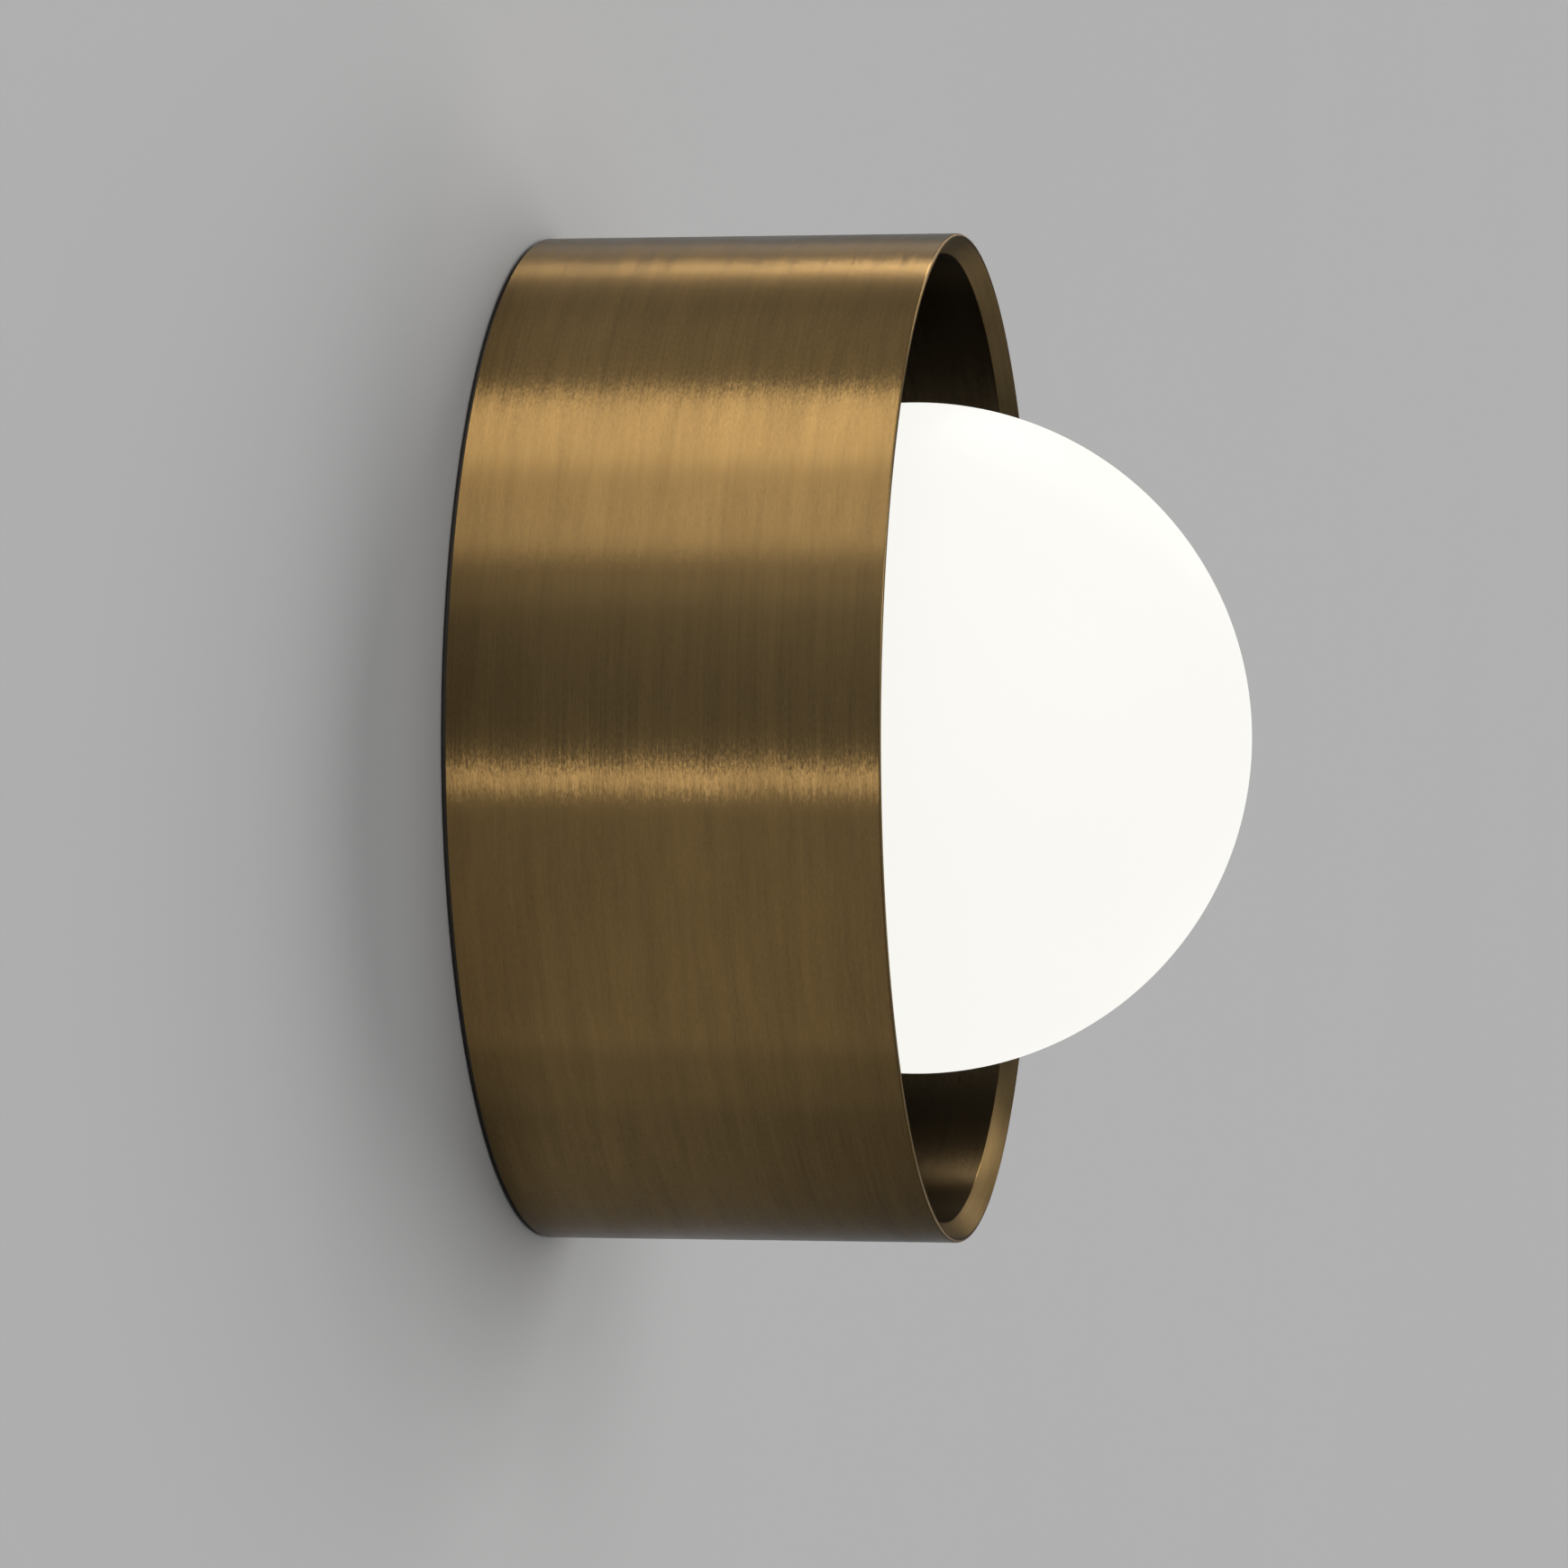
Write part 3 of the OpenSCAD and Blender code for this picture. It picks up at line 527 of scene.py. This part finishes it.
def face_along(shape, direction):
    """Turns the faces of a flat bmesh towards a direction"""
    for face in shape.faces:
        face.normal_update()
        if face.normal.dot(direction) < 0:
            face.normal_flip()


def shown(name, body, slot, mesh, *nodes):
    """Puts a finished mesh into the scene on its CAD body, in the place of its nodes"""
    piece = placed(name, mesh)
    bpy.context.view_layer.update()
    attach(piece, body)
    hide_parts(*nodes)


def arc(middle, radius, start, end, steps):
    """Points of a circle's arc in (radius, distance from the wall), angles in degrees"""
    turns = [math.radians(start + (end - start) * i / steps) for i in range(steps + 1)]
    return [
        (middle[0] + radius * math.cos(turn), middle[1] + radius * math.sin(turn))
        for turn in turns
    ]


def turned(name, profile, segments, materials=None, crease=CREASE):
    """A closed profile of (radius, distance from the wall) points, turned round the Y axis.

    materials gives each profile edge its material's index.
    """
    shape = bmesh.new()
    loops = []
    for i in range(segments):
        turn = 2 * math.pi * i / segments
        loops.append([
            shape.verts.new((r * math.cos(turn), -depth, r * math.sin(turn)))
            for r, depth in profile
        ])
    count = len(profile)
    for i in range(segments):
        here, ahead = loops[i], loops[(i + 1) % segments]
        for k in range(count):
            after = (k + 1) % count
            side = shape.faces.new((here[k], ahead[k], ahead[after], here[after]))
            side.smooth = True
            if materials:
                side.material_index = materials[k]
    bmesh.ops.recalc_face_normals(shape, faces=shape.faces)
    for edge in shape.edges:
        if len(edge.link_faces) == 2 and edge.calc_face_angle() > crease:
            edge.smooth = False
    return finished_mesh(name, shape)


def aim(item, direction):
    """Turns an object's Z axis towards a direction"""
    item.rotation_mode = "QUATERNION"
    item.rotation_quaternion = Vector(direction).to_track_quat("Z", "Y")


def drill(mesh, holes):
    """Cuts round holes through a mesh: each is (middle, axis, radius, length)"""
    target = placed("drilled", mesh)
    tools = []
    for middle, axis, radius, reach in holes:
        shape = bmesh.new()
        bmesh.ops.create_cone(
            shape, cap_ends=True, segments=DRILL_SIDES, radius1=radius, radius2=radius,
            depth=reach,
        )
        tool = placed("drill", finished_mesh("drill", shape))
        aim(tool, axis)
        tool.location = middle
        cut = target.modifiers.new("cut", "BOOLEAN")
        cut.operation = "DIFFERENCE"
        cut.solver = "EXACT"
        cut.object = tool
        tools.append(tool)
    bpy.context.view_layer.update()
    seen = target.evaluated_get(bpy.context.evaluated_depsgraph_get())
    drilled = bpy.data.meshes.new_from_object(seen)
    for piece in (target, *tools):
        bpy.data.objects.remove(piece)
    return drilled


def refine(node, material, edge=0.00012):
    """Keeps a CAD node's shape, softens its edges and gives it its finish"""
    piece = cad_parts[node]
    piece.data.materials.clear()
    piece.data.materials.append(material)
    for face in piece.data.polygons:
        face.material_index = 0
        face.use_smooth = True
    weld = piece.modifiers.new("weld", "WELD")
    weld.merge_threshold = WELD_DISTANCE
    if edge:
        bevel = piece.modifiers.new("soft edges", "BEVEL")
        bevel.width = edge
        bevel.segments = 2
        bevel.limit_method = "ANGLE"
        bevel.angle_limit = BEVEL_ANGLE
        bevel.use_clamp_overlap = True
        bevel.harden_normals = True
        normals = piece.modifiers.new("normals", "WEIGHTED_NORMAL")
        normals.keep_sharp = True
    else:
        split = piece.modifiers.new("sharp edges", "EDGE_SPLIT")
        split.split_angle = SPLIT_ANGLE


# Operators

# Materials of the ring, in the order in which its mesh holds them: brushed brass, a dark copy
# that is painted shade inside, brighter brass that is a painted highlight on the rim's edge, and
# the bevel's brass
BRUSHED, PAINTED_SHADE_INSIDE, PAINTED_RIM_HIGHLIGHT, BEVELLED = range(4)
# Steps of the front edge's arc that get no painted highlight
UNHIGHLIGHTED_STEPS = 3
# Half the slope of the bevel, from which the places of its two soft edges follow
HALF_BEVEL_ANGLE = math.radians(22.5)
# Degrees round the pan of the first and the last cup screw, and the steps between them
CUP_SCREW_ARC = (90, 330, 2)


class BrassRing(bpy.types.Operator):
    """Builds the brushed brass ring with its bevelled front rim"""

    bl_idname = "orb_light.brass_ring"
    bl_label = "Brass ring"

    def execute(self, context):
        ring = context.scene.orb_ring
        bore = ring.radius - ring.wall
        soft = ring.soft_edge
        foot = (bore, ring.front - ring.bevel)
        head = (bore + ring.bevel, ring.front)
        slope = soft * math.tan(HALF_BEVEL_ANGLE)
        outside = [(ring.radius - soft, ring.back)]
        outside += arc((ring.radius - soft, ring.back + soft), soft, -90, 0, SOFT_STEPS)[1:]
        highlight_start = len(outside) + UNHIGHLIGHTED_STEPS
        outside += arc((ring.radius - ring.edge, ring.front - ring.edge), ring.edge, 0, 90,
                       EDGE_STEPS)
        highlight_end = len(outside) - 1
        outside += arc((head[0] + slope, head[1] - soft), soft, 90, 135, SOFT_STEPS)
        inside = arc((foot[0] + soft, foot[1] - slope), soft, 135, 180, SOFT_STEPS)
        inside += [(bore, ring.back + soft)]
        inside += arc((bore + soft, ring.back + soft), soft, 180, 270, SOFT_STEPS)[1:]
        finishes = [BRUSHED] * (len(outside) + SOFT_STEPS)
        finishes += [PAINTED_SHADE_INSIDE] * (len(inside) - SOFT_STEPS)
        finishes[highlight_start:highlight_end] = [PAINTED_RIM_HIGHLIGHT] * (highlight_end - highlight_start)
        finishes[len(outside) - 1] = BEVELLED
        mesh = turned("ring_body", outside + inside, ring.segments, finishes)
        mesh.materials.append(brushed_brass("ring_brass", ring))
        mesh.materials.append(brushed_brass("ring_brass_inside", ring, painted_shade=True))
        mesh.materials.append(painted_highlight_rim("ring_painted_highlight_rim", ring))
        mesh.materials.append(cut_bevel("ring_bevel", ring))
        middle = ring.radius - ring.wall / 2
        through = DRILL_LENGTH * ring.wall
        holes = [
            ((0, -ring.grub_height, side * middle), (0, 0, 1), ring.grub_radius, through)
            for side in (-1, 1)
        ]
        shown("ring_body", "ring", "antique_brass", drill(mesh, holes), "ring_shade")
        colours = context.scene.orb_fittings
        refine("ring_grub_screws", screw_metal("grub_brass", colours.screw_brass, 0.36),
               0.0001)
        return {"FINISHED"}


class BackPan(bpy.types.Operator):
    """Builds the drawn brass pan behind the globe, with its screws and studs"""

    bl_idname = "orb_light.back_pan"
    bl_label = "Back pan"

    def execute(self, context):
        pan = context.scene.orb_pan
        ring = context.scene.orb_ring
        colours = context.scene.orb_fittings
        inner = pan.radius - pan.sheet
        under = pan.face - pan.sheet
        profile = [(pan.bore, under), (inner, under), (inner, pan.back), (pan.radius, pan.back)]
        profile += arc((pan.radius - pan.bend, pan.face - pan.bend), pan.bend, 0, 90,
                       EDGE_STEPS)
        profile += [(pan.bore, pan.face)]
        mesh = turned("pan_body", profile, ring.segments)
        # The pan takes the dark copy of the brass: painted shade behind the globe
        mesh.materials.append(brushed_brass("pan_brass", ring, painted_shade=True))
        middle = -(pan.face - pan.sheet / 2)
        through = DRILL_LENGTH * pan.sheet
        holes = [
            ((side * pan.post, middle, 0), (0, 1, 0), pan.post_hole, through)
            for side in (-1, 1)
        ]
        for x, z in arc((0, 0), pan.cup_ring, *CUP_SCREW_ARC):
            holes.append(((x, middle, z), (0, 1, 0), pan.cup_hole, through))
        shown("pan_body", "base", "antique_brass", drill(mesh, holes), "back_pan")
        aged = screw_metal("screw_brass", colours.screw_brass, 0.34)
        refine("pan_screws", aged)
        refine("pan_washers", aged, 0.0001)
        refine("pan_studs", turned_metal("stud_brass", colours.bright_brass))
        return {"FINISHED"}


class OpalGlobe(bpy.types.Operator):
    """Builds the opal globe with its neck, collar and seal"""

    bl_idname = "orb_light.opal_globe"
    bl_label = "Opal globe"

    def execute(self, context):
        globe = context.scene.orb_globe
        colours = context.scene.orb_fittings
        inner = globe.radius - globe.wall
        bore = globe.neck - globe.neck_wall
        middle = (0.0, globe.middle)
        outer_start = -math.degrees(math.acos(globe.neck / globe.radius))
        inner_start = -math.degrees(math.acos(bore / inner))
        rounding = globe.neck_wall / 2
        outside = arc(middle, globe.radius, outer_start, 90, GLOBE_STEPS)
        hollow = arc(middle, inner, 90, inner_start, GLOBE_STEPS)
        lip = arc((bore + rounding, globe.neck_end + rounding), rounding, 180, 360,
                  EDGE_STEPS)
        # The outline stays just off the axis, so that no face has two corners in one place
        pole = 1e-6
        outside[-1] = (pole, globe.middle + globe.radius)
        hollow[0] = (pole, globe.middle + inner)
        mesh = turned("globe_glass", outside + hollow + lip, globe.segments,
                      crease=GLASS_CREASE)
        mesh.materials.append(opal_glass("opal_glass", globe))
        shown("globe_glass", "globe_unit", "opal_glass", mesh, "globe")
        refine("globe_collar", turned_metal("collar_brass", colours.bright_brass, 0.3),
               0.00008)
        refine("globe_seal", moulded("seal_silicone", colours.silicone, 0.5, 900.0),
               0.0)
        return {"FINISHED"}


class WallFixing(bpy.types.Operator):
    """Finishes the wall bar, its pillars and the foam gasket"""

    bl_idname = "orb_light.wall_fixing"
    bl_label = "Wall fixing"

    def execute(self, context):
        colours = context.scene.orb_fittings
        zinc = plated_sheet("bar_zinc", colours.zinc)
        refine("wall_bar", zinc, 0.0002)
        refine("bar_pillars", turned_metal("pillar_zinc", colours.zinc, 0.3))
        refine("wall_gasket",
               moulded("gasket_foam", colours.foam, 0.9, 1800.0, 0.00012, 0.85),
               0.0)
        return {"FINISHED"}


class CupAndSocket(bpy.types.Operator):
    """Finishes the cup, the lamp socket and all that holds them"""

    bl_idname = "orb_light.cup_and_socket"
    bl_label = "Cup and socket"

    def execute(self, context):
        colours = context.scene.orb_fittings
        refine("globe_cup", turned_metal("cup_aluminium", colours.aluminium, 0.32, 900.0),
               0.0)
        zinc = screw_metal("screw_zinc", colours.bright_zinc)
        for node in ("cup_screws", "cup_nuts", "bracket_screws", "bracket_nuts",
                     "socket_screws"):
            refine(node, zinc)
        refine("socket_bracket", plated_sheet("bracket_zinc", colours.zinc),
               0.00015)
        refine("lamp_socket", glazed("socket_ceramic", colours.ceramic), 0.0003)
        refine("socket_contacts", turned_metal("contact_bronze", colours.bronze, 0.3),
               0.00005)
        refine("wire_grommet", moulded("grommet_rubber", colours.rubber, 0.6),
               0.0001)
        return {"FINISHED"}


class PinLamp(bpy.types.Operator):
    """Finishes the two-pin lamp inside the globe"""

    bl_idname = "orb_light.pin_lamp"
    bl_label = "Pin lamp"

    def execute(self, context):
        colours = context.scene.orb_fittings
        refine("lamp_base", moulded("lamp_base_white", colours.lamp_white, 0.4),
               0.0003)
        refine("lamp_cover",
               moulded("cover_frosted", colours.diffuser, 0.55, 3000.0, 0.00002, 0.96),
               0.0)
        refine("lamp_pins", turned_metal("pin_nickel", colours.nickel, 0.22),
               0.0001)
        refine("lamp_board", moulded("board_white", colours.board, 0.38, 1600.0),
               0.00005)
        refine("lamp_leds", moulded("chip_phosphor", colours.phosphor, 0.3, 2600.0),
               0.0001)
        return {"FINISHED"}


class Terminals(bpy.types.Operator):
    """Finishes the terminal block and the earth bond on the pan's back"""

    bl_idname = "orb_light.terminals"
    bl_label = "Terminals"

    def execute(self, context):
        colours = context.scene.orb_fittings
        refine("terminal_block", moulded("block_plastic", colours.block, 0.42),
               0.0)
        refine("terminal_cages", turned_metal("cage_brass", colours.bright_brass, 0.3),
               0.00006)
        zinc = screw_metal("terminal_zinc", colours.bright_zinc)
        for node in ("terminal_screws", "block_nut", "earth_washer", "earth_nut"):
            refine(node, zinc, 0.0001)
        refine("earth_tag", turned_metal("tag_tin", colours.tin, 0.3),
               0.00006)
        return {"FINISHED"}


class Leads(bpy.types.Operator):
    """Finishes the live, neutral and earth leads"""

    bl_idname = "orb_light.leads"
    bl_label = "Leads"

    def execute(self, context):
        colours = context.scene.orb_fittings
        refine("live_wire", insulation("live_brown", colours.live), 0.0)
        refine("neutral_wire", insulation("neutral_blue", colours.neutral), 0.0)
        refine("earth_wire",
               striped_insulation("earth_stripes", colours.earth_green, colours.earth_yellow),
               0.0)
        return {"FINISHED"}


# Soft boxes that light the wall light and not the wall, which doesn't block them either:
# name, degrees round the ring's axis from the camera's side over the top, start and end
# in metres out from the wall, width, strength
SOFT_BOXES = (
    ("overhead_box", 73.2, -1.60, 0.90, 1.12, 2.52),
    ("camera_side_box", 51.6, -1.60, 0.90, 1.12, 1.47),
    ("camera_side_fade", 34.5, -1.60, 0.90, 0.45, 0.27),
    ("overhead_fade", 97.5, -1.60, 0.90, 1.28, 0.135),
    ("far_top_strip", 131.6, 0.04, 0.80, 0.23, 21.5),
    ("far_top_fade", 146.0, -0.60, 0.40, 0.50, 0.90),
    ("far_front_box", 136.5, 0.90, 2.30, 0.64, 2.7),
    ("far_end_box", 160.0, 0.65, 1.25, 0.60, 1.7),
    ("low_strip", -9.0, -1.60, 0.90, 0.15, 5.5),
    ("low_fill", -44.0, -1.60, 0.90, 3.35, 0.282),
    ("low_fade", -80.0, -1.60, 0.90, 1.10, 0.10),
    ("low_front_box", -133.0, 1.20, 3.00, 2.60, 0.12),
    ("low_end_box", -157.0, 0.60, 1.40, 0.90, 0.40),
)
SOFT_BOX_AWAY = 3.0
SOFT_BOX_TINT = (1.0, 0.885, 0.725)
# Far soft lights: name, direction that the light comes from, width in degrees, strength,
# and whether it lights the wall or the wall light
FAR_LIGHTS = (
    ("wall_key", (0.84, -0.50, 0.10), 48.0, 2.92, "wall"),
    ("wall_fill", (-0.15, -0.92, 0.20), 70.0, 1.50, "wall"),
    ("front_fill", (0.45, -0.85, -0.35), 60.0, 0.20, "lamp"),
    ("rim_light", (-0.25, -0.87, 0.43), 30.0, 0.35, "lamp"),
    ("back_fill", (0.25, 0.90, 0.40), 90.0, 1.6, "lamp"),
)
# What each group of lights reaches: how the listed things are linked, and their names
LIT_GROUPS = (
    ("wall", "INCLUDE", ("painted_wall",)),
    ("lamp", "EXCLUDE", ("painted_wall", "pale_floor")),
)

# Painted shade on the wall below the picture, deepest under the light, so that the ring's lower
# part
# mirrors a darker wall: the heights where it starts and ends, how much lower they lie for each
# metre from the middle, and the share of the colour left
PAINTED_SHADE_HEIGHTS = (-0.165, -0.44)
PAINTED_SHADE_SLOPE = 0.12
PAINTED_SHADE_SHARE = 0.35
# Corners of the wall's opening, and its gap to the back of the light
WALL_SIDES = 96
WALL_GAP = 0.00005

# The camera: where it stands from its target, and how far the picture is shifted
CAMERA_SIDE = Vector((-0.983, -0.184, 0.0)).normalized()
CAMERA_SHIFT = (0.0164, -0.0293)


class Studio(bpy.types.Operator):
    """Sets the painted wall, the floor, the soft lamps and the camera"""

    bl_idname = "orb_light.studio"
    bl_label = "Studio"

    def execute(self, context):
        studio = context.scene.orb_studio
        self.painted_wall(studio)
        self.pale_floor(studio)
        self.soft_lamps()
        self.room_light(context, studio)
        self.camera(context, studio)
        context.scene.view_settings.view_transform = "Standard"
        return {"FINISHED"}

    def painted_wall(self, studio):
        """A wall seen from the room only, open where the light covers it"""
        shape = bmesh.new()
        half_width = studio.wall_width / 2
        half_height = studio.wall_height / 2
        tiny = 1e-9
        rim = []
        far = []
        for i in range(WALL_SIDES):
            turn = 2 * math.pi * i / WALL_SIDES
            x, z = math.cos(turn), math.sin(turn)
            reach = min(half_width / max(abs(x), tiny), half_height / max(abs(z), tiny))
            rim.append(shape.verts.new((studio.wall_hole * x, WALL_GAP, studio.wall_hole * z)))
            far.append(shape.verts.new((reach * x, WALL_GAP, reach * z)))
        for i in range(WALL_SIDES):
            after = (i + 1) % WALL_SIDES
            shape.faces.new((rim[i], rim[after], far[after], far[i]))
        face_along(shape, Vector((0, -1, 0)))
        mesh = finished_mesh("painted_wall", shape)
        finish = Finish("wall_paint")
        mottle = finish.noise(3.0, 4.0)
        roller = finish.noise(700.0, 3.0)
        base = finish.blend(mottle, studio.wall_colour, scaled(studio.wall_colour, 0.985))
        # Painted shade: the wall's colour darkens towards the bottom below the picture, as if
        # the light fell off there
        parts = finish.parts_of_place()
        aside = finish.math("ABSOLUTE", parts["X"], 0.0)
        raised = finish.total(parts["Z"], finish.math("MULTIPLY", aside, PAINTED_SHADE_SLOPE))
        shade_start, shade_end = PAINTED_SHADE_HEIGHTS
        base = finish.blend(finish.range(raised, shade_end, shade_start, 0.0, 1.0),
                            scaled(studio.wall_colour, PAINTED_SHADE_SHARE), base)
        finish.set(Specular_IOR_Level=0.0)
        finish.use(base, finish.spread(roller, 0.85, 0.95),
                   finish.bump(roller, 0.00004, 0.3))
        self.one_sided(finish)
        mesh.materials.append(finish.material)
        placed("painted_wall", mesh)

    def one_sided(self, finish):
        """Lets a look from behind pass through the surface"""
        facing = finish.add("ShaderNodeNewGeometry").outputs["Backfacing"]
        clear = finish.add("ShaderNodeBsdfTransparent")
        mix = finish.add("ShaderNodeMixShader")
        output = finish.tree.nodes["Material Output"]
        finish.link(facing, mix.inputs["Fac"])
        finish.link(finish.shader.outputs["BSDF"], mix.inputs[1])
        finish.link(clear.outputs["BSDF"], mix.inputs[2])
        finish.link(mix.outputs["Shader"], output.inputs["Surface"])

    def pale_floor(self, studio):
        """A pale floor well under the picture"""
        shape = bmesh.new()
        half_width = studio.wall_width / 2
        low = -studio.floor_drop
        corners = [(-half_width, 0.0), (half_width, 0.0), (half_width, -studio.wall_height),
                   (-half_width, -studio.wall_height)]
        shape.faces.new([shape.verts.new((x, y, low)) for x, y in corners])
        bmesh.ops.subdivide_edges(shape, edges=shape.edges, cuts=6, use_grid_fill=True)
        face_along(shape, Vector((0, 0, 1)))
        mesh = finished_mesh("pale_floor", shape)
        finish = Finish("floor_concrete")
        cloud = finish.noise(1.6, 6.0)
        base = finish.blend(cloud, studio.floor_colour, scaled(studio.floor_colour, 0.93))
        finish.use(base, finish.spread(cloud, 0.6, 0.75),
                   finish.bump(finish.noise(220.0), 0.0001, 0.3))
        self.one_sided(finish)
        mesh.materials.append(finish.material)
        placed("pale_floor", mesh)

    def lit_groups(self):
        """Collections that say what each group of lights reaches"""
        groups = {}
        for name, state, members in LIT_GROUPS:
            group = bpy.data.collections.new(name + "_lighting")
            for member in members:
                group.objects.link(bpy.data.objects[member])
            for entry in group.collection_objects:
                entry.light_linking.link_state = state
            groups[name] = group
        return groups

    def soft_lamps(self):
        """Soft boxes round the ring's axis, and far lights for the wall and the wall light"""
        lit = self.lit_groups()
        for name, turn, start, end, width, strength in SOFT_BOXES:
            reach = end - start
            data = bpy.data.lights.new(name, "AREA")
            data.shape = "RECTANGLE"
            data.size = reach
            data.size_y = width
            data.color = SOFT_BOX_TINT
            data.energy = strength * math.pi * width * reach
            lamp = placed(name, data)
            angle = math.radians(turn)
            outward = Vector((-math.cos(angle), 0.0, math.sin(angle)))
            lamp.location = SOFT_BOX_AWAY * outward + Vector((0.0, -(start + end) / 2, 0.0))
            aim(lamp, outward)
            lamp.light_linking.receiver_collection = lit["lamp"]
            lamp.light_linking.blocker_collection = lit["lamp"]
        for name, source, width, strength, target in FAR_LIGHTS:
            data = bpy.data.lights.new(name, "SUN")
            data.angle = math.radians(width)
            data.energy = strength
            lamp = placed(name, data)
            aim(lamp, source)
            lamp.light_linking.receiver_collection = lit[target]

    def room_light(self, context, studio):
        """An even, dim light from all sides"""
        world = bpy.data.worlds.new("studio_room")
        world.use_nodes = True
        background = world.node_tree.nodes["Background"]
        background.inputs["Color"].default_value = (*studio.room, 1.0)
        background.inputs["Strength"].default_value = 1.0
        context.scene.world = world

    def camera(self, context, studio):
        """The photograph's view: level with the axis and close along the wall"""
        data = bpy.data.cameras.new("view")
        data.sensor_width = 36.0
        data.lens = studio.lens
        data.shift_x, data.shift_y = CAMERA_SHIFT
        data.clip_start = 0.01
        data.clip_end = 50.0
        camera = placed("view", data)
        camera.location = Vector((0.0, -studio.target_depth, 0.0))
        camera.location += studio.camera_distance * CAMERA_SIDE
        aim(camera, CAMERA_SIDE)
        context.scene.camera = camera


PIECE_OPERATORS = (
    BrassRing, BackPan, OpalGlobe, WallFixing, CupAndSocket, PinLamp, Terminals, Leads, Studio,
)
SIZE_GROUPS = {
    "orb_ring": RingSizes,
    "orb_pan": PanSizes,
    "orb_globe": GlobeSizes,
    "orb_fittings": FittingColours,
    "orb_studio": StudioSizes,
}


class OrbLightPanel(bpy.types.Panel):
    """Lists the pieces of the orb wall light"""

    bl_idname = "VIEW3D_PT_orb_light"
    bl_label = "Orb wall light"
    bl_space_type = "VIEW_3D"
    bl_region_type = "UI"
    bl_category = PANEL_TAB

    def draw(self, context):
        for operator in PIECE_OPERATORS:
            self.layout.operator(operator.bl_idname)
        for name, group in SIZE_GROUPS.items():
            box = self.layout.box()
            box.label(text=group.__doc__)
            for size in group.__annotations__:
                box.prop(getattr(context.scene, name), size)


def register():
    for group in SIZE_GROUPS.values():
        bpy.utils.register_class(group)
    for name, group in SIZE_GROUPS.items():
        setattr(bpy.types.Scene, name, PointerProperty(type=group))
    for operator in PIECE_OPERATORS:
        bpy.utils.register_class(operator)
    bpy.utils.register_class(OrbLightPanel)


def unregister():
    bpy.utils.unregister_class(OrbLightPanel)
    for operator in reversed(PIECE_OPERATORS):
        bpy.utils.unregister_class(operator)
    for name in SIZE_GROUPS:
        delattr(bpy.types.Scene, name)
    for group in SIZE_GROUPS.values():
        bpy.utils.unregister_class(group)


def main():
    register()
    bpy.ops.orb_light.brass_ring()
    bpy.ops.orb_light.back_pan()
    bpy.ops.orb_light.opal_globe()
    bpy.ops.orb_light.wall_fixing()
    bpy.ops.orb_light.cup_and_socket()
    bpy.ops.orb_light.pin_lamp()
    bpy.ops.orb_light.terminals()
    bpy.ops.orb_light.leads()
    bpy.ops.orb_light.studio()


if __name__ == "__main__":
    main()
